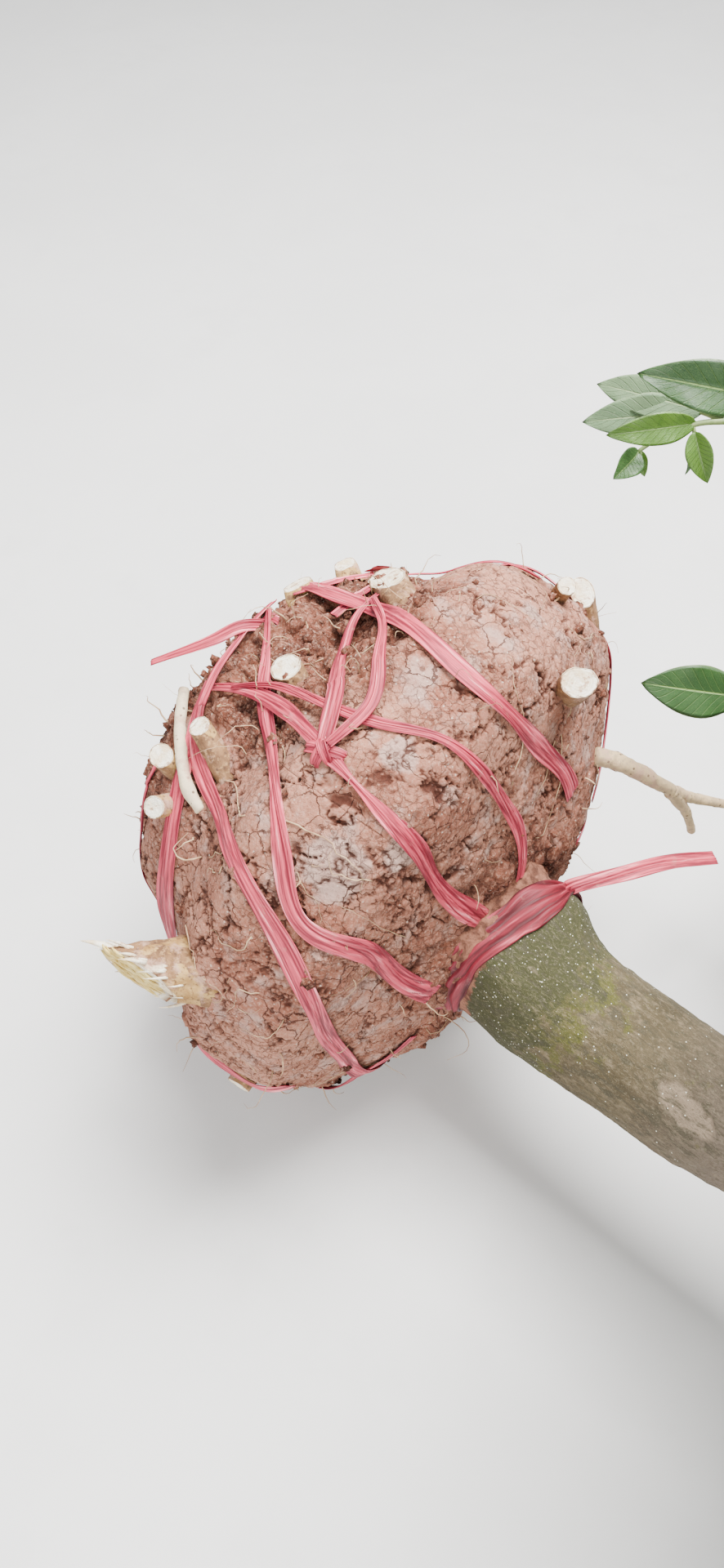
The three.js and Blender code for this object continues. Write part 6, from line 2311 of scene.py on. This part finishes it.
@dataclass(frozen=True)
class Bark(Finish):
    """Smooth bark: a mottle with short fibres, pale specks and a scar where the piece has one.

    Where moss_to is set, it turns greyer past that place along X, and has moss, damp, more specks
    and clay before it.
    """

    name: str
    colours: tuple[Triple, ...]
    dark: Triple = (0.055, 0.048, 0.028)
    light: Triple = (0.30, 0.235, 0.15)
    fibre: Triple = (0.34, 0.29, 0.19)
    healed: Triple = (0.34, 0.25, 0.17)
    speck: Triple = (0.72, 0.70, 0.56)
    grey: Triple = (0.165, 0.125, 0.096)
    moss: Triple = (0.088, 0.090, 0.010)
    damp: Triple = (0.028, 0.030, 0.010)
    clay: tuple[Triple, ...] = ((0.085, 0.030, 0.017), (0.30, 0.125, 0.075), (0.17, 0.062, 0.036))
    moss_from: float = 0.0
    moss_to: float = 0.0
    specks: float = 0.05
    scale: float = 30.0
    depth: float = 0.0011

    def foot(self, sheet: NodeSheet, place: object, colour: object, dots: object) -> tuple:
        """What the foot of the trunk has over its mottle.

        Args:
            sheet: the material's sheet.
            place: Object coordinates.
            colour: the mottle.
            dots: the mask of pale specks.

        Returns:
            The colour, the specks, and the coat of clay that goes over everything.
        """
        along = sheet.parts(place)[0]
        near = sheet.ramp(along, self.moss_from, self.moss_to, 0.17, -0.13)
        patch = sheet.math("ADD", sheet.noise(place, 30.0, 8.0, 0.75), near)
        darker = sheet.math("ADD", patch, sheet.ramp(along, 0.24, 0.34, 0.08, -0.12))
        colour = sheet.coats(colour, (along, (self.moss_to - 0.04, self.moss_to + 0.12, 0.0, 0.9), self.grey),
                             (patch, (0.46, 0.58, 0.0, 0.9), self.moss),
                             (darker, (0.52, 0.64, 0.0, 0.85), self.damp))
        more = sheet.math("MULTIPLY", self.speckled(sheet, place, 440.0, 0.24, 0.11),
                          sheet.ramp(patch, 0.48, 0.58))
        dirt = sheet.math("ADD", sheet.ramp(along, 0.172, 0.205, 0.3, -0.35), patch)
        clay = self.mottled(sheet, place, 95.0, self.clay)
        return colour, sheet.math("MAXIMUM", dots, more), [(dirt, (0.52, 0.62), clay)]

    def material(self) -> Material:
        """Builds the material."""
        material, sheet, shader = self.open(self.name)
        place = sheet.place()
        colour = self.mottled(sheet, sheet.scaled(place, (0.5, 1.0, 1.0)), self.scale, self.colours)
        fibre = sheet.noise(sheet.scaled(place, (300.0, 520.0, 520.0)), 1.0, 3.0, 0.6, 1.2)
        streak = sheet.noise(sheet.scaled(place, (40.0, 110.0, 110.0)), 1.0, 6.0, 0.72, 1.2)
        dots = self.speckled(sheet, place, 400.0, 0.26, self.specks)
        over = []
        if self.moss_to:
            colour, dots, over = self.foot(sheet, place, colour, dots)
        colour = sheet.coats(colour, (sheet.attribute("scar"), 0.6, self.healed),
                             (streak, (0.38, 0.52, 0.75, 0.0), self.dark),
                             (streak, (0.54, 0.70, 0.0, 0.30), self.light),
                             (fibre, (0.50, 0.70, 0.0, 0.25), self.fibre),
                             (fibre, (0.34, 0.48, 0.45, 0.0), self.dark), (dots, 0.9, self.speck), *over)
        height = self.grained(sheet, sheet.scaled(place, (0.35, 1.0, 1.0)), 190.0, 0.5)
        height = sheet.math("MULTIPLY_ADD", fibre, 0.8, sheet.math("MULTIPLY_ADD", streak, 0.9, height))
        self.close(sheet, shader, colour, (height, self.depth), roughness=0.78, specular_ior_level=0.3)
        return material


@dataclass(frozen=True)
class RootBark(Finish):
    """Root bark: brown, with clay on it and small dark flecks, and peeled to wood that may be cream."""

    bark: tuple[Triple, ...] = ((0.13, 0.058, 0.022), (0.26, 0.13, 0.052), (0.38, 0.22, 0.095))
    wood: tuple[Triple, ...] = ((0.31, 0.160, 0.042), (0.49, 0.300, 0.105), (0.16, 0.072, 0.022))
    cream: Triple = (0.85, 0.74, 0.53)
    fleck: Triple = (0.09, 0.045, 0.025)
    clay: Triple = (0.50, 0.30, 0.21)

    def material(self) -> Material:
        """Builds the material."""
        material, sheet, shader = self.open("root_bark")
        place = sheet.place()
        ragged = sheet.math("MULTIPLY_ADD", sheet.noise(place, 90.0, 5.0, 0.7), 0.9, sheet.attribute("peel"))
        wood = sheet.blend(sheet.attribute("pale"), self.mottled(sheet, place, 70.0, self.wood), self.cream)
        colour = sheet.coats(self.mottled(sheet, place, 60.0, self.bark), (ragged, (0.94, 1.12), wood),
                             (self.speckled(sheet, place, 240.0, 0.33, 0.16), 0.8, self.fleck),
                             (sheet.noise(place, 48.0, 6.0, 0.7), (0.52, 0.64, 0.0, 0.75), self.clay))
        self.close(sheet, shader, colour, (self.grained(sheet, place, 210.0, 0.5), 0.0011), roughness=0.82)
        return material


@dataclass(frozen=True)
class CutWood(Finish):
    """Cut face of a root: pale wood with faint rings, a bark rim, specks of dirt, and painted shade in the
    sunk hollow where marked.
    """

    wood: tuple[Triple, ...] = ((0.72, 0.56, 0.35), (0.93, 0.88, 0.74), (0.86, 0.76, 0.57))
    ring: Triple = (0.48, 0.32, 0.16)
    rim: Triple = (0.25, 0.13, 0.07)
    dirt: Triple = (0.40, 0.22, 0.12)
    # painted shade: dark brown for the inside of the sunk hollow
    rotten: Triple = (0.17, 0.075, 0.042)
    ring_count: float = 42.0

    def material(self) -> Material:
        """Builds the material."""
        material, sheet, shader = self.open("cut_wood")
        place = sheet.place()
        disc, _, _ = sheet.uv()
        reach = sheet.node("ShaderNodeVectorMath", operation="LENGTH")
        sheet.put(reach.inputs[0], disc)
        warped = sheet.math("MULTIPLY_ADD", sheet.noise(disc, 2.2, 3.0), 0.35, reach.outputs["Value"])
        rings = sheet.math("SINE", sheet.math("MULTIPLY", warped, self.ring_count))
        wood = sheet.coats(self.mottled(sheet, place, 75.0, self.wood),
                           (rings, (0.0, 1.0, 0.0, 0.28), self.ring), (warped, (1.06, 1.13), self.rim),
                           (sheet.noise(place, 95.0, 6.0, 0.75), (0.55, 0.62, 0.0, 0.85), self.dirt))
        # painted shade in the sunk hollow of the great root's cut
        wood = sheet.blend(sheet.attribute("rot"), wood, self.rotten)
        self.close(sheet, shader, wood, (self.grained(sheet, place, 300.0, 0.4), 0.0008), roughness=0.8)
        return material


@dataclass(frozen=True)
class Film(Finish):
    """Ribbon film: rose red, with paler and darker lengthwise streaks, painted shade along the pleats'
    troughs, fine lengthwise lines and some dust.
    """

    name: str = "rose_ribbon"
    dark: Triple = (0.17, 0.006, 0.019)
    rose: Triple = (0.55, 0.062, 0.096)
    pale: Triple = (0.90, 0.29, 0.32)
    dust: Triple = (0.42, 0.22, 0.16)

    def material(self) -> Material:
        """Builds the material."""
        material, sheet, shader = self.open(self.name)
        surface, _, _ = sheet.uv()
        drawn = sheet.noise(sheet.scaled(surface, (190.0, 11.0, 1.0)), 1.0, 5.0, 0.6)
        fine = sheet.noise(sheet.scaled(surface, (2600.0, 14.0, 1.0)), 1.0, 2.0, 0.5)
        colour = sheet.coats(self.dark, (drawn, (0.36, 0.54), self.rose),
                             (drawn, (0.54, 0.66, 0.0, 0.95), self.pale),
                             # painted shade in the pleats' troughs
                             (sheet.attribute("pleat_shade"), (0.1, 0.7, 0.0, 0.9), self.dark),
                             (sheet.noise(sheet.place(), 55.0, 6.0, 0.7), (0.60, 0.72, 0.0, 0.3), self.dust))
        sheet.put(shader.inputs["Roughness"], sheet.ramp(fine, 0.3, 0.7, 0.46, 0.66))
        height = sheet.math("MULTIPLY_ADD", fine, 0.35, drawn)
        self.close(sheet, shader, colour, (height, 0.0007), specular_ior_level=0.35)
        return material


@dataclass(frozen=True)
class LeafSkin(Finish):
    """Leaf surface: a pale midrib, side veins that slant to the margin, and a waxy gloss above."""

    name: str
    blade: Triple
    fresh: Triple
    rib: Triple = (0.17, 0.27, 0.075)
    gloss: float = 0.14
    rough: float = 0.46
    vein_depth: float = 0.0006
    vein_pairs: int = 11

    def material(self) -> Material:
        """Builds the material."""
        material, sheet, shader = self.open(self.name)
        place = sheet.place()
        _, across, along = sheet.uv()
        side = sheet.math("ABSOLUTE", across)
        slanted = sheet.math("MULTIPLY_ADD", sheet.math("POWER", side, 0.8), -0.22, along)
        wave = sheet.math("COSINE", sheet.math("MULTIPLY", slanted, TURN * self.vein_pairs))
        vein = sheet.math("MULTIPLY", sheet.ramp(wave, 0.86, 1.0), sheet.ramp(side, 0.75, 0.98, 1.0, 0.0))
        midrib = sheet.ramp(side, 0.018, 0.055, 1.0, 0.0)
        net = sheet.cells(place, 900.0, "DISTANCE_TO_EDGE").outputs[0]
        colour = sheet.coats(self.mottled(sheet, place, 38.0, (self.blade, self.fresh, self.blade)),
                             (net, (0.0, 0.09, 0.25, 0.0), self.rib), (vein, 0.20, self.rib))
        colour = sheet.blend(midrib, colour, self.rib)
        colour = sheet.coats(colour, (side, (0.93, 0.99, 0.0, 0.5), self.rib))
        rough = sheet.ramp(sheet.noise(place, 300.0), 0.3, 0.7, self.rough - 0.05, self.rough + 0.08)
        sheet.put(shader.inputs["Roughness"], rough)
        height = sheet.math("SUBTRACT", sheet.math("MULTIPLY", net, 0.5), sheet.math("ADD", vein, midrib))
        self.close(sheet, shader, colour, (height, self.vein_depth), coat_weight=self.gloss,
                   coat_roughness=0.22, specular_ior_level=0.3)
        return material


@dataclass(frozen=True)
class Plain(Finish):
    """Even surface with a slight mottle: fibres, rootlets, twigs, stalks, and the floor."""

    name: str
    first: Triple
    second: Triple
    scale: float = 60.0
    rough: float = 0.8

    def material(self) -> Material:
        """Builds the material."""
        material, sheet, shader = self.open(self.name)
        place = sheet.place()
        colour = self.mottled(sheet, place, self.scale, (self.first, self.second, self.first))
        height = self.grained(sheet, place, self.scale * 4, 0.4)
        self.close(sheet, shader, colour, (height, 0.0004), roughness=self.rough)
        return material


LEAF_TINTS = (
    ("leaf_deep", (0.012, 0.046, 0.009), (0.019, 0.062, 0.012)),
    ("leaf_green", (0.021, 0.072, 0.010), (0.031, 0.093, 0.014)),
    ("leaf_soft", (0.032, 0.088, 0.020), (0.046, 0.108, 0.029)),
    ("leaf_fresh", (0.042, 0.105, 0.006), (0.064, 0.140, 0.010)),
)
TRUNK_COLOURS = ((0.060, 0.044, 0.019), (0.104, 0.078, 0.038), (0.170, 0.128, 0.072))
BOUGH_COLOURS = ((0.15, 0.15, 0.085), (0.23, 0.235, 0.14), (0.27, 0.24, 0.18))
# the trunk wrap's film: the ribbon's colours darkened, as painted shade
SHADED_WRAP_COLOURS = ((0.055, 0.002, 0.005), (0.20, 0.014, 0.026), (0.44, 0.065, 0.090))


@dataclass
class Studio:
    """Plain pale floor, a soft key light with a fill light opposite, and an even sky."""

    shared: SharedEffect
    half_floor: float = 20.0
    lamps: tuple[tuple[str, Triple, float, float], ...] = (
        ("key", (0.1, 0.9, 3.3), 1.7, 460.0), ("fill", (2.4, -2.6, 2.2), 3.0, 190.0))
    aim: Triple = (0.1, 0.0, 0.3)
    sky: Triple = (0.93, 0.96, 1.0)
    sky_strength: float = 0.85

    def build(self) -> None:
        """Makes the floor, the lights and the world."""
        reach = self.half_floor
        corners = [(-reach, -reach, 0.0), (reach, -reach, 0.0), (reach, reach, 0.0), (-reach, reach, 0.0)]
        mesh = bpy.data.meshes.new("floor")
        mesh.from_pydata(corners, [], [(0, 1, 2, 3)])
        floor = bpy.data.objects.new("floor", mesh)
        mesh.materials.append(Plain(self.shared, "pale_floor", (0.70, 0.69, 0.67), (0.73, 0.72, 0.70),
                                    2.0, 0.9).material())
        bpy.context.scene.collection.objects.link(floor)
        for name, place, size, power in self.lamps:
            data = bpy.data.lights.new(name, "AREA")
            data.size = size
            data.energy = power
            lamp = bpy.data.objects.new(name, data)
            lamp.location = place
            lamp.rotation_euler = (Vector(self.aim) - Vector(place)).to_track_quat("-Z", "Y").to_euler()
            bpy.context.scene.collection.objects.link(lamp)
        world = bpy.data.worlds.new("even sky")
        world.use_nodes = True
        sky = next(n for n in world.node_tree.nodes if n.type == "BACKGROUND")
        sky.inputs["Color"].default_value = (*self.sky, 1.0)
        sky.inputs["Strength"].default_value = self.sky_strength
        bpy.context.scene.world = world


def main() -> None:
    """Builds every sub-assembly in order."""
    logging.basicConfig(level=logging.INFO, format="%(name)s: %(message)s")
    shared = SharedEffect.make()
    camera = Camera()
    camera.build()
    Studio(shared).build()
    ball = RootBall()
    soil = Soil(shared).material()
    ball.build(soil)
    Crumbs(ball).build(soil)
    Trunk().build(Bark(shared, "trunk_bark", TRUNK_COLOURS, moss_from=0.20, moss_to=0.37,
                       specks=0.035).material())
    # the wrap is a darker copy of the ribbon film, as painted shade
    wrap = Film(shared, "deep_ribbon", *SHADED_WRAP_COLOURS)
    Ribbon(ball, camera.back()).build(Film(shared).material(), wrap.material())
    fibre = Plain(shared, "yellow_fibre", (0.55, 0.38, 0.09), (0.72, 0.58, 0.24), 90.0, 0.7)
    Roots(ball, camera.back()).build(RootBark(shared).material(), CutWood(shared).material(),
                                     fibre.material())
    rootlet = Plain(shared, "rootlet_skin", (0.32, 0.18, 0.095), (0.54, 0.37, 0.21))
    Rootlets(ball).build(rootlet.material())
    young = Bark(shared, "bough_bark", BOUGH_COLOURS, specks=0.04)
    twig_bark = Plain(shared, "twig_bark", (0.10, 0.17, 0.04), (0.17, 0.22, 0.07), 40.0, 0.6).material()
    under = LeafSkin(shared, "leaf_underside", (0.078, 0.136, 0.062), (0.10, 0.158, 0.074),
                     (0.22, 0.29, 0.14), gloss=0.03, rough=0.62)
    stalk = Plain(shared, "stalk_skin", (0.16, 0.26, 0.05), (0.22, 0.31, 0.08), 40.0, 0.5)
    tints = [LeafSkin(shared, *tint) for tint in LEAF_TINTS]
    leaf_finishes = [finish.material() for finish in (*tints, under, stalk)]
    Crown(camera).build(young.material(), twig_bark, leaf_finishes)
    NearSprays(camera).build(twig_bark, leaf_finishes)
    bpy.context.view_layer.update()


if __name__ == "__main__":
    main()
